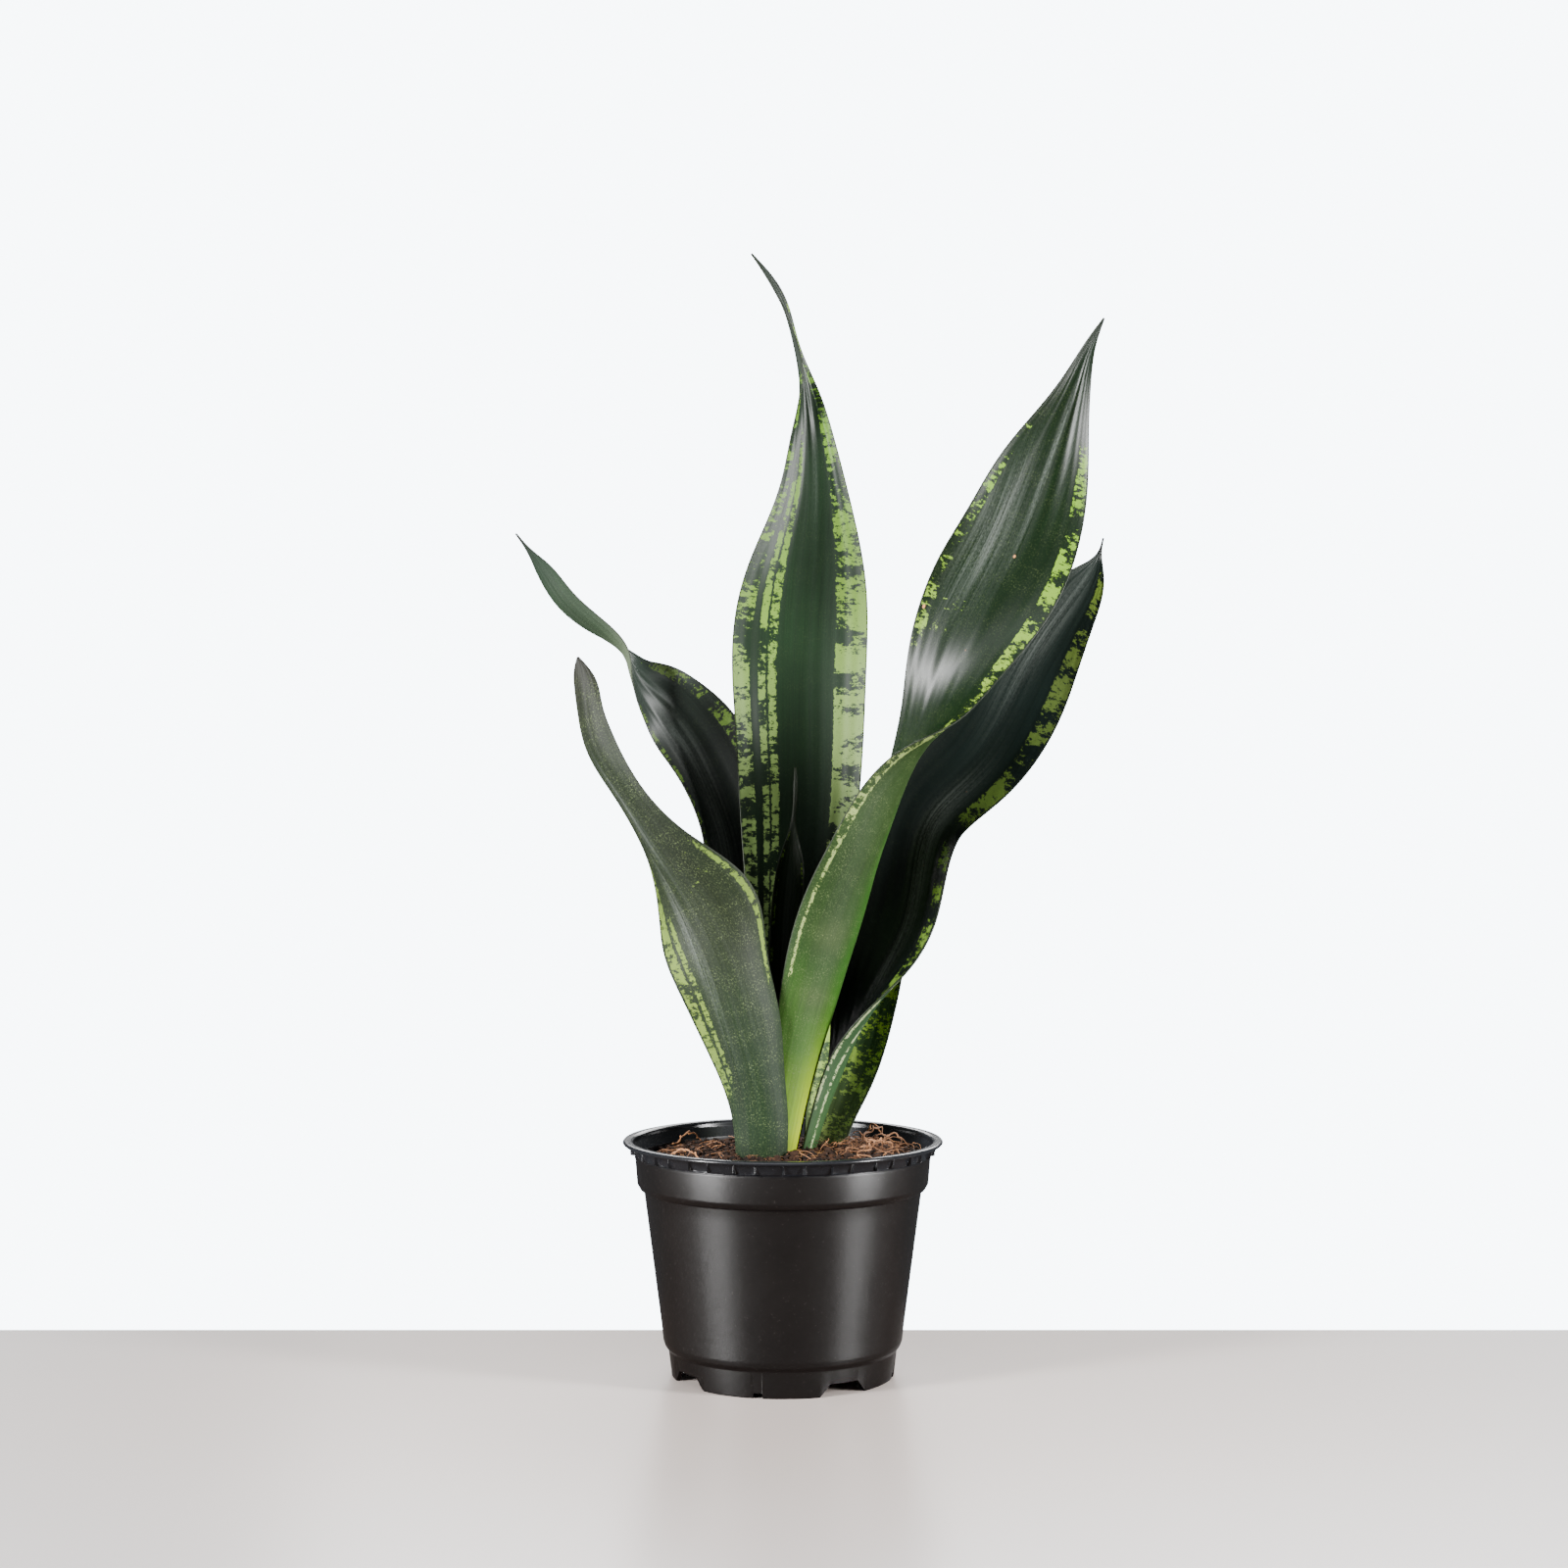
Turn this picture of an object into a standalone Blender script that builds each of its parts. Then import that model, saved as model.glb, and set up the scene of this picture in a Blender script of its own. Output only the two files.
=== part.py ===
"""A snake plant in a six inch nursery pot.

The pot, the soil, the rhizome with its roots, seven leaves and a few loose root fibres are separate
solids. The frame's origin is where the pot's axis meets the surface that it stands on, +Z is up, and
-Y is the front. Driving dimensions are in millimetres, and MM turns them into Blender's metres.
"""

import bmesh
import bpy
import numpy as np

MM = 0.001
SHARP_ANGLE = np.radians(40.0)
GAP = 0.35                      # clearance between pieces that touch in the real plant

# Pot: wall, foot, drainage
POT_SEGMENTS = 44
FLOOR_UNDERSIDE = 6.0
FLOOR_TOP = 7.6
# Outer side from the foot to the outer edge of the lip, as (radius, height)
POT_OUTSIDE = (
    (52.8, 0.0), (54.3, 12.5), (56.0, 14.5), (56.8, 17.0), (57.6, 24.0), (66.0, 88.0),
    (67.7, 88.4), (69.2, 91.0), (70.2, 103.4), (69.7, 104.0), (70.6, 104.6), (72.5, 109.0),
    (75.2, 109.2), (76.2, 110.2),
)
# Top of the lip and the inner side down to the floor
POT_INSIDE = (
    (75.4, 111.3), (72.3, 111.3), (71.2, 110.3), (71.1, 108.6), (68.6, 103.6), (67.9, 91.2),
    (66.7, 89.5), (64.7, 87.6), (56.3, 24.0), (55.5, 17.6), (54.6, 15.2), (53.0, 13.2), (52.3, FLOOR_TOP),
)
PAD_RADIUS = 13.0               # foot pad in the middle of the floor, which the pot also stands on
PAD_SHOULDER = 17.0
PAD_TOP = 1.6
FOOT_INNER_RADIUS = 51.0
FOOT_OUTER_RADIUS = 54.0
CUT_MARGIN = 2.0                # how far a cutter passes the surface that it cuts
LARGE_NOTCH = {"count": 4, "first": 32.5, "bottom": 25.0, "top": 16.0, "height": 5.6}
SMALL_NOTCH = {"count": 4, "first": -12.5, "bottom": 4.6, "top": 3.6, "height": 2.5}
DRAIN_COUNT = 8
DRAIN_RADIUS = 4.0
DRAIN_CIRCLE = 42.0
DRAIN_SIDES = 12

# Soil
SOIL_EDGE_HEIGHT = 101.3
SOIL_CROWN = 3.2                # how much higher the middle is than the edge
SOIL_RINGS = (0.0, 12.0, 24.0, 36.0, 46.0, 55.0, 62.0)

# Rhizome: rings of the crown as (height, share of the full width), and its roots
CROWN_CENTRE = (3.5, 4.0)
CROWN_RADII = (33.0, 30.0)
CROWN_SEGMENTS = 28
CROWN_RINGS = (
    (66.0, 0.30), (69.0, 0.52), (76.0, 0.76), (86.0, 0.92), (96.0, 1.0), (102.0, 0.99), (104.6, 0.93),
    (105.4, 0.78),
)
CROWN_FLOOR = 65.0
CROWN_TOP = 105.8
TUBE_UP = (0.31, 0.17, -0.93)   # a direction that no tube follows, which sets its sections
ROOT_COUNT = 8
ROOT_RADII = (2.6, 1.2)
ROOT_SIDES = 6
ROOT_STEPS = 7

# Leaves: each station is (x, y, z, half width, turn, cup on side -1, cup on side +1), base to tip.
# Turn is the section's angle about the leaf's length: 0 shows the inner face to the front, 180 the
# outer one. A cup is the angle that one half of the section bends through, towards the inner face.
LEAF_ROWS = 27
LEAF_COLUMNS = 8
LEAF_THICKNESS = ((0.0, 3.4), (0.25, 2.6), (0.8, 1.6), (1.0, 1.0))      # share of length, thickness
LEAF_EDGE_SHARE = 0.30          # thickness at the margin as a share of the middle's
SHORTEST_HALF_WIDTH = 0.3
LEAVES = {
    "leaf_front_left": (
        (-10, -17, 96, 12.5, 180, 40, 36), (-11, -21, 129, 15, 180, 48, 38),
        (-20, -27, 168, 21.5, 180, 54, 38), (-29, -31, 198, 26, 178, 50, 34),
        (-41, -33, 224, 28, 152, 45, 38), (-58, -36, 250, 19.5, 128, 35, 35),
        (-76, -36, 277, 15, 120, 35, 35), (-89, -34, 299, 15.5, 120, 38, 38),
        (-93, -32, 319, 11.5, 126, 40, 40), (-94, -31, 330, 7, 140, 40, 40),
        (-95, -30, 339, 0.5, 150, 20, 20),
    ),
    "leaf_centre_tall": (
        (-2, 13, 91, 7.5, 0, 35, 35), (0, 18, 147, 14, 0, 32, 32), (4, 22, 209, 23, 0, 30, 30),
        (8, 24, 270, 29.5, 0, 26, 26), (8, 25, 337, 33.5, 0, 25, 25), (11, 25, 385, 29.5, 5, 28, 28),
        (14, 23, 427, 17, 10, 40, 40), (11, 18, 465, 8.5, 35, 60, 60), (5, 12, 494, 3.5, 75, 60, 60),
        (-2, 8, 515, 2.5, 40, 40, 40), (-15, 3, 533, 0.5, 30, 20, 20),
    ),
    "leaf_right_twisted": (
        (1, -3, 94, 8, -125, 50, 50), (8, -5, 131, 16, -128, 55, 55),
        (17, -8, 169, 22.5, -130, 60, 55), (30, -12, 211, 28, -128, 62, 58),
        (44, -14, 249, 29, -113, 60, 55), (60, -12, 286, 27, -92, 45, 45),
        (71, -8, 309, 23.5, -59, 22, 22), (85, -7, 343, 27, -26, 16, 16),
        (107, -6, 387, 30, 0, 20, 20), (124, -8, 430, 22, 0, 28, 28),
        (138, -11, 469, 8, 0, 40, 40), (144, -13, 486, 3.5, 20, 45, 45),
        (151, -15, 499, 0.5, 30, 30, 30),
    ),
    "leaf_right_dark": (
        (11, 6, 93, 9, -100, 45, 45), (18, 7, 118, 12, -98, 48, 48), (27, 9, 141, 16, -94, 50, 52),
        (37, 12, 166, 20, -68, 50, 55), (45, 15, 187, 23, -45, 45, 50), (57, 18, 216, 26, -28, 42, 45),
        (61, 20, 241, 25.5, -18, 42, 50), (69, 21, 266, 25.5, -10, 36, 58),
        (91, 22, 289, 26, -8, 28, 40), (119, 21, 337, 24, 0, 26, 26), (138, 20, 366, 16, 0, 28, 28),
        (149, 20, 382, 7.5, 0, 35, 35), (153, 20, 391, 1.5, 0, 30, 30), (155, 20, 399, 0.5, 0, 20, 20),
    ),
    "leaf_right_short": (
        (20, 20, 92, 8.5, -20, 35, 40), (23, 23, 114, 13, -20, 40, 45), (30, 28, 137, 17, -15, 40, 45),
        (39, 34, 170, 18, -10, 40, 40), (45, 40, 203, 17, -5, 40, 40), (48, 45, 236, 10, 0, 40, 40),
        (50, 48, 256, 3, 0, 30, 30), (51, 50, 265, 0.5, 0, 20, 20),
    ),
    "leaf_left_back": (
        (-4, 22, 92, 10, 5, 30, 30), (-8, 27, 137, 16, 5, 35, 32), (-14, 33, 184, 21, 8, 45, 33),
        (-18, 37, 227, 23.5, 10, 55, 33), (-23, 39, 258, 24.5, 10, 70, 33),
        (-33, 38, 284, 23.5, 12, 65, 33), (-43, 37, 303, 22.5, 15, 42, 33),
        (-58, 34, 321, 17.5, 15, 33, 33), (-72, 31, 334, 13, 62, 35, 35),
        (-78, 29, 344, 10, 92, 35, 35), (-91, 27, 355, 8.5, 120, 35, 35),
        (-107, 24, 369, 7.5, 138, 35, 35), (-117, 22, 384, 5, 145, 35, 35),
        (-123, 20, 393, 1.5, 150, 35, 35), (-129, 18, 401, 0.5, 150, 20, 20),
    ),
    "leaf_young_centre": (
        (-6, 2, 93, 4.5, 0, 80, 80), (-3, 3, 140, 7, 0, 75, 75), (0, 4, 186, 9, 0, 72, 72),
        (2, 5, 221, 9.5, 0, 70, 70), (4, 6, 244, 7, 0, 65, 65), (5, 7, 261, 1.5, 0, 50, 50),
        (6, 7, 274, 1, 0, 40, 40), (6, 7, 288, 0.5, 0, 20, 20),
    ),
}

# Loose root fibres on the soil: (x and y of the start, x and y of the end, arch height, sideways bow)
FIBRE_RADIUS = 0.45
FIBRE_STEPS = 9
FIBRE_SIDES = 6
FIBRES = (
    (38, 18, 52, 30, 7.0, 3.0),
    (45, 12, 60, 17, 5.0, -4.0),
    (50, 36, 40, 44, 6.0, 4.0),
    (37, 5, 54, 1, 3.0, -2.0),
    (-52, 22, -40, 34, 4.0, 3.0),
    (-38, -28, -53, -20, 3.0, -3.0),
)

COLOURS = {                     # base colour, roughness
    "pot": ((0.012, 0.011, 0.010), 0.45),
    "soil": ((0.060, 0.030, 0.016), 0.95),
    "rhizome": ((0.380, 0.230, 0.110), 0.70),
    "leaf": ((0.045, 0.095, 0.035), 0.40),
    "fibre": ((0.420, 0.230, 0.130), 0.80),
}


def clear_scene():
    for thing in list(bpy.data.objects):
        bpy.data.objects.remove(thing, do_unlink=True)


def material(name):
    colour, roughness = COLOURS[name]
    made = bpy.data.materials.get(name)
    if made is None:
        made = bpy.data.materials.new(name)
        made.use_nodes = True
        shader = made.node_tree.nodes["Principled BSDF"]
        shader.inputs["Base Color"].default_value = (*colour, 1.0)
        shader.inputs["Roughness"].default_value = roughness
        shader.inputs["Metallic"].default_value = 0.0
        made.diffuse_color = (*colour, 1.0)
    return made


def add_object(name, vertices, faces, finish):
    """Puts a mesh, given in millimetres, into the scene, with its faces turned outwards."""
    mesh = bpy.data.meshes.new(name)
    points = [tuple(float(value) * MM for value in point) for point in vertices]
    mesh.from_pydata(points, [], faces)
    shape = bmesh.new()
    shape.from_mesh(mesh)
    bmesh.ops.recalc_face_normals(shape, faces=shape.faces)
    shape.to_mesh(mesh)
    shape.free()
    mesh.shade_smooth()
    mesh.set_sharp_from_angle(angle=SHARP_ANGLE)
    mesh.materials.append(material(finish))
    made = bpy.data.objects.new(name, mesh)
    bpy.context.scene.collection.objects.link(made)
    return made


def make_cutter(thing):
    thing.hide_render = True
    thing.display_type = "WIRE"


def add_boolean(thing, other, operation="DIFFERENCE"):
    modifier = thing.modifiers.new(operation.lower(), "BOOLEAN")
    modifier.operation = operation
    modifier.solver = "EXACT"
    modifier.object = other
    make_cutter(other)


def apply_modifiers(thing):
    """Replaces the object's mesh by its evaluated one, and removes the objects that cut it."""
    used = [modifier.object for modifier in thing.modifiers]
    seen = thing.evaluated_get(bpy.context.evaluated_depsgraph_get())
    mesh = bpy.data.meshes.new_from_object(seen)
    thing.modifiers.clear()
    thing.data = mesh
    for other in used:
        bpy.data.objects.remove(other, do_unlink=True)


def ring_faces(rows, columns):
    """Quads between closed rings that follow each other, and one face over each end."""
    faces = []
    for row in range(rows - 1):
        for column in range(columns):
            after = (column + 1) % columns
            faces.append((row * columns + column, row * columns + after,
                          (row + 1) * columns + after, (row + 1) * columns + column))
    faces.append(tuple(reversed(range(columns))))
    faces.append(tuple(range((rows - 1) * columns, rows * columns)))
    return faces


def turned_shape(profile, segments, lift=None):
    """Turns a profile that starts and ends on the axis; lift gives extra height at (radius, angle)."""
    angles = np.arange(segments) * 2.0 * np.pi / segments
    rings = []
    for radius, height in profile[1:-1]:
        level = np.full(segments, height)
        rings.append(np.stack([radius * np.sin(angles), -radius * np.cos(angles), level], axis=1))
    vertices = np.concatenate(rings + [[(0.0, 0.0, profile[0][1])], [(0.0, 0.0, profile[-1][1])]])
    rows = len(rings)
    faces = ring_faces(rows, segments)[:-2]
    first, last = rows * segments, rows * segments + 1
    for column in range(segments):
        after = (column + 1) % segments
        faces.append((first, after, column))
        faces.append((last, (rows - 1) * segments + column, (rows - 1) * segments + after))
    if lift is not None:
        vertices = lift(vertices)
    return vertices, faces


def arc_block(angle, bottom, top, height):
    """A wedge through the foot, wider at the bottom than at the top, centred on an angle in degrees."""
    vertices = []
    for level, width in ((-CUT_MARGIN, bottom), (height, top)):
        for radius in (FOOT_INNER_RADIUS - CUT_MARGIN, FOOT_OUTER_RADIUS + CUT_MARGIN):
            for side in (-0.5, 0.5):
                turn = np.radians(angle) + side * width / FOOT_OUTER_RADIUS
                vertices.append((radius * np.sin(turn), -radius * np.cos(turn), level))
    faces = [(0, 1, 3, 2), (4, 6, 7, 5), (0, 4, 5, 1), (2, 3, 7, 6), (0, 2, 6, 4), (1, 5, 7, 3)]
    return vertices, faces


def make_pot():
    underside = [(0.0, 0.0), (PAD_RADIUS, 0.0), (PAD_SHOULDER, FLOOR_UNDERSIDE),
                 (FOOT_INNER_RADIUS, FLOOR_UNDERSIDE), (FOOT_INNER_RADIUS, 0.0)]
    floor = [(PAD_SHOULDER, FLOOR_TOP), (PAD_RADIUS, PAD_TOP), (0.0, PAD_TOP)]
    profile = underside + list(POT_OUTSIDE) + list(POT_INSIDE) + floor
    pot = add_object("pot", *turned_shape(profile, POT_SEGMENTS), "pot")
    for notch in (LARGE_NOTCH, SMALL_NOTCH):
        for index in range(notch["count"]):
            angle = notch["first"] + 360.0 * index / notch["count"]
            block = arc_block(angle, notch["bottom"], notch["top"], notch["height"])
            add_boolean(pot, add_object("notch", *block, "pot"))
    for index in range(DRAIN_COUNT):
        angle = 2.0 * np.pi * (index + 0.5) / DRAIN_COUNT
        x, y = DRAIN_CIRCLE * np.sin(angle), -DRAIN_CIRCLE * np.cos(angle)
        ends = [(x, y, FLOOR_UNDERSIDE - CUT_MARGIN), (x, y, FLOOR_TOP + CUT_MARGIN)]
        add_boolean(pot, add_object("drain", *tube(ends, (DRAIN_RADIUS,) * 2, DRAIN_SIDES), "pot"))
    apply_modifiers(pot)
    return pot


def soil_height(x, y):
    """Height of the soil's surface: a low dome with soft lumps."""
    radius = np.hypot(x, y)
    dome = SOIL_CROWN * (1.0 - (radius / 68.0) ** 2)
    lumps = 0.5 * np.sin(0.16 * x + 1.0) * np.cos(0.19 * y) + 0.3 * np.sin(0.31 * x - 0.27 * y)
    return SOIL_EDGE_HEIGHT + dome + lumps


def crown_rings(grow, top):
    """Rings of the crown, thickened by grow, with the last ring repeated at a given top height."""
    angles = np.arange(CROWN_SEGMENTS) * 2.0 * np.pi / CROWN_SEGMENTS
    rings = []
    levels = [(CROWN_FLOOR - grow, 0.06)] + [(height, share) for height, share in CROWN_RINGS]
    levels += [(top, 0.94 if grow else 0.30)]
    widest = 0.0
    for height, share in levels:
        widest = max(widest, share) if grow else share
        reach = 1.0 + 0.05 * np.cos(3.0 * angles + 0.7) + 0.03 * np.cos(5.0 * angles)
        ring = np.stack([CROWN_CENTRE[0] + (CROWN_RADII[0] * widest + grow) * reach * np.cos(angles),
                         CROWN_CENTRE[1] + (CROWN_RADII[1] * widest + grow) * reach * np.sin(angles),
                         np.full(CROWN_SEGMENTS, height)], axis=1)
        rings.append(ring)
    return np.concatenate(rings), ring_faces(len(rings), CROWN_SEGMENTS)


def tube(points, radii, sides):
    """A tapering tube along points: each ring lies across the path."""
    points = np.array(points, float)
    along = np.gradient(points, axis=0)
    along /= np.linalg.norm(along, axis=1, keepdims=True)
    across = np.cross(along, TUBE_UP)
    across /= np.linalg.norm(across, axis=1, keepdims=True)
    third = np.cross(along, across)
    angles = np.arange(sides) * 2.0 * np.pi / sides
    radii = np.array(radii, float)[:, None, None]
    cosine, sine = np.cos(angles)[None, :, None], np.sin(angles)[None, :, None]
    vertices = points[:, None, :] + radii * (cosine * across[:, None, :] + sine * third[:, None, :])
    return vertices.reshape(-1, 3), ring_faces(len(points), sides)


def root_path(index):
    """A root leaves the crown's side and bends down and outwards as a quarter wave."""
    turn = 2.0 * np.pi * (index + 0.35) / ROOT_COUNT
    out = np.array([np.cos(turn), np.sin(turn)])
    share = np.linspace(0.0, 1.0, ROOT_STEPS)
    reach = 9.0 + (30.0 + 5.0 * (index % 3)) * np.sin(share * np.pi / 2.0)
    wave = 2.5 * np.sin(share * np.pi * 1.5 + index)
    start = np.array(CROWN_CENTRE) * (1.0 - share[:, None])
    flat = start + reach[:, None] * out + wave[:, None] * out[::-1] * (1, -1)
    height = 80.0 + 3.0 * (index % 2) - (50.0 + 5.0 * (index % 4)) * share ** 1.6
    return np.column_stack([flat, height])


def natural_spline(where, values, at):
    """A natural cubic spline through values at where, read at the given places."""
    count = len(where)
    step = np.diff(where)
    system = np.eye(count)
    right = np.zeros((count, values.shape[1]))
    for row in range(1, count - 1):
        system[row, row - 1:row + 2] = step[row - 1], 2.0 * (step[row - 1] + step[row]), step[row]
        slope = (values[row + 1] - values[row]) / step[row] - (values[row] - values[row - 1]) / step[row - 1]
        right[row] = 6.0 * slope
    bend = np.linalg.solve(system, right)
    index = np.clip(np.searchsorted(where, at) - 1, 0, count - 2)
    width = step[index][:, None]
    left = (where[index + 1] - at)[:, None] / width
    rest = 1.0 - left
    curve = (left ** 3 - left) * bend[index] + (rest ** 3 - rest) * bend[index + 1]
    return left * values[index] + rest * values[index + 1] + curve * width ** 2 / 6.0


def unit(vectors):
    return vectors / np.linalg.norm(vectors, axis=-1, keepdims=True)


def leaf_surface(stations, rows, across):
    """The leaf's middle surface: sections bent into arcs, carried along a spline."""
    stations = np.array(stations, float)
    steps = np.linalg.norm(np.diff(stations[:, :3], axis=0), axis=1)
    where = np.concatenate([[0.0], np.cumsum(steps)])
    values = natural_spline(where, stations, np.linspace(0.0, where[-1], rows))
    centre = values[:, :3]
    along = unit(np.gradient(centre, axis=0))
    level = unit(np.cross((0.0, 1.0, 0.0), along))
    front = np.cross(along, level)
    turn = np.radians(values[:, 4])[:, None]
    wide = (level * np.cos(turn) + front * np.sin(turn))[:, None, :]
    back = (front * np.cos(turn) - level * np.sin(turn))[:, None, :]
    half = np.maximum(values[:, 3], SHORTEST_HALF_WIDTH)[:, None, None]
    cup = np.radians(np.where(across[None, :] < 0.0, values[:, 5:6], values[:, 6:7]))
    sideways = np.sign(across) * np.sin(cup * np.abs(across)) / cup
    forward = (1.0 - np.cos(cup * np.abs(across))) / cup
    return centre[:, None, :] + half * (wide * sideways[..., None] - back * forward[..., None]), half[:, :, 0]


def leaf_solid(stations, grow=0.0, rows=LEAF_ROWS, only_below=None):
    """A closed leaf: the middle surface moved both ways along its normal, thin at the margins."""
    across = np.linspace(-1.0, 1.0, LEAF_COLUMNS)
    middle, half = leaf_surface(stations, rows, across)
    normal = unit(np.cross(np.gradient(middle, axis=0), np.gradient(middle, axis=1)))
    share = np.linspace(0.0, 1.0, rows)
    thickness = np.interp(share, *zip(*LEAF_THICKNESS))[:, None]
    thickness = thickness * (1.0 - (1.0 - LEAF_EDGE_SHARE) * np.abs(across[None, :]) ** 3)
    thickness = np.minimum(thickness, 0.9 * half + 0.35) / 2.0 + grow
    if grow:
        outwards = unit(np.gradient(middle, axis=1))
        margin = np.where(np.abs(across) > 0.99, np.sign(across), 0.0)
        middle = middle + grow * outwards * margin[None, :, None]
        middle[0] -= grow * unit(middle[1] - middle[0])
    sides = np.concatenate([middle + normal * thickness[..., None],
                            (middle - normal * thickness[..., None])[:, ::-1]], axis=1)
    if only_below is not None:
        rows = int(np.argmax(middle[:, :, 2].min(axis=1) > only_below)) + 1
        sides = sides[:rows]
    columns = sides.shape[1]
    return sides.reshape(-1, 3), ring_faces(rows, columns)


def make_rhizome():
    crown = add_object("rhizome", *crown_rings(0.0, CROWN_TOP), "rhizome")
    radii = np.linspace(*ROOT_RADII, ROOT_STEPS)
    for index in range(ROOT_COUNT):
        add_boolean(crown, add_object("root", *tube(root_path(index), radii, ROOT_SIDES), "rhizome"), "UNION")
    for stations in LEAVES.values():
        socket = add_object("socket", *leaf_solid(stations, grow=GAP, only_below=CROWN_TOP + 3.0), "rhizome")
        add_boolean(crown, socket)
    apply_modifiers(crown)
    return crown


def soil_lift(vertices):
    """Gives the top rings the height of the soil's surface."""
    top = vertices[:, 2] >= SOIL_EDGE_HEIGHT - 0.01
    vertices[top, 2] = soil_height(vertices[top, 0], vertices[top, 1])
    return vertices


def make_soil():
    side = [(radius - GAP, height) for radius, height in reversed(POT_INSIDE) if height < SOIL_EDGE_HEIGHT]
    side[0] = (side[0][0] - 0.1, FLOOR_TOP + GAP)
    bottom = [(0.0, PAD_TOP + GAP), (PAD_RADIUS - GAP, PAD_TOP + GAP), (PAD_SHOULDER - GAP, FLOOR_TOP + GAP)]
    edge_radius = np.interp(SOIL_EDGE_HEIGHT, (91.2, 103.6), (67.9, 68.6)) - GAP - 0.1
    top = [(radius, SOIL_EDGE_HEIGHT) for radius in reversed(SOIL_RINGS[1:])] + [(0.0, SOIL_EDGE_HEIGHT)]
    profile = bottom + side + [(edge_radius, SOIL_EDGE_HEIGHT)] + top
    soil = add_object("soil", *turned_shape(profile, POT_SEGMENTS, soil_lift), "soil")
    add_boolean(soil, add_object("well", *crown_rings(GAP, CROWN_TOP + 12.0), "soil"))
    radii = np.linspace(*ROOT_RADII, ROOT_STEPS) + GAP
    for index in range(ROOT_COUNT):
        path = root_path(index)
        path[-1] += GAP * unit(path[-1] - path[-2])
        add_boolean(soil, add_object("tunnel", *tube(path, radii, ROOT_SIDES), "soil"))
    apply_modifiers(soil)
    return soil


def make_leaves():
    for name, stations in LEAVES.items():
        add_object(name, *leaf_solid(stations), "leaf")


def make_fibres():
    """Each fibre is an arch from the soil to the soil, bowed sideways."""
    share = np.linspace(0.0, 1.0, FIBRE_STEPS)
    for number, (x0, y0, x1, y1, arch, bow) in enumerate(FIBRES, start=1):
        side = unit(np.array([y0 - y1, x1 - x0], float))
        hump = np.sin(np.pi * share)
        x = x0 + (x1 - x0) * share + side[0] * bow * hump
        y = y0 + (y1 - y0) * share + side[1] * bow * hump
        z = soil_height(x, y) + 0.9 + FIBRE_RADIUS + arch * hump
        radii = FIBRE_RADIUS * (1.0 - 0.4 * share)
        add_object(f"root_fibre_{number}", *tube(np.column_stack([x, y, z]), radii, FIBRE_SIDES), "fibre")


def main():
    clear_scene()
    make_pot()
    make_rhizome()
    make_soil()
    make_leaves()
    make_fibres()


main()
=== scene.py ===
"""The looks of a snake plant in a black nursery pot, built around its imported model.

Shapes are worked out in millimetres and stored in metres, and the camera and the lamps are placed in
metres. The pot's axis is the Z axis, and -Y is the front. Every leaf is a section bent into an arc and
carried along a spline. Its markings are painted as attributes over (across, along), and noise in the
shader roughens them.
"""

from types import SimpleNamespace

import bpy
import numpy as np
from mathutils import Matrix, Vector


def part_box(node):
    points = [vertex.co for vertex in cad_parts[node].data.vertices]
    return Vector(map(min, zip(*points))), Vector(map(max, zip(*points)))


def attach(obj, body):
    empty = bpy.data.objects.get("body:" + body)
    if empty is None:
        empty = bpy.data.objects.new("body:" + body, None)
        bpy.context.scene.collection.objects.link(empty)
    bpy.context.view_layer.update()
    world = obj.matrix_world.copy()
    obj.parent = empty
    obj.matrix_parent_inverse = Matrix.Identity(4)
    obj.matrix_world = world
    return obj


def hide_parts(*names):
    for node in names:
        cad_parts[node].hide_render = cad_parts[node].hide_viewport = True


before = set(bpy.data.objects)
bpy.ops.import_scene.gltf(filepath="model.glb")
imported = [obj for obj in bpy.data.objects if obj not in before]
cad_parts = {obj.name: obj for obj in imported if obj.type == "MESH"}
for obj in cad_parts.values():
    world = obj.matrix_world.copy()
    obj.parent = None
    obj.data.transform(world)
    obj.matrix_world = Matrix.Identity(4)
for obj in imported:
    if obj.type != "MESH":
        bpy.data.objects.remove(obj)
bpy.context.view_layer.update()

MM = 0.001
TINY = 1e-12  # keeps a vector without length from being divided by zero

# The soft noise's hash: primes for the three axes, the seed and the octave, and how its bits are mixed
AXIS_PRIMES = (73856093, 19349663, 83492791)
SEED_PRIME = 7919
OCTAVE_PRIME = 104729
MIXING_FACTOR = 1274126177
MIXING_MASK = 0x7FFFFFFF
NOISE_LEVELS = 65536


# ---------------- small helpers

def shade(red, green, blue):
    """A colour given as sRGB values from 0 to 255, as the linear colour that shaders use."""
    screen = np.array((red, green, blue), float) / 255.0
    return np.where(screen <= 0.04045, screen / 12.92, ((screen + 0.055) / 1.055) ** 2.4)


def unit(vectors):
    return vectors / np.maximum(np.linalg.norm(vectors, axis=-1, keepdims=True), TINY)


def smooth(low, high, value):
    """0 below low, 1 above high, and an S-shaped change between them."""
    share = np.clip((value - low) / (high - low), 0.0, 1.0)
    return share * share * (3.0 - 2.0 * share)


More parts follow.
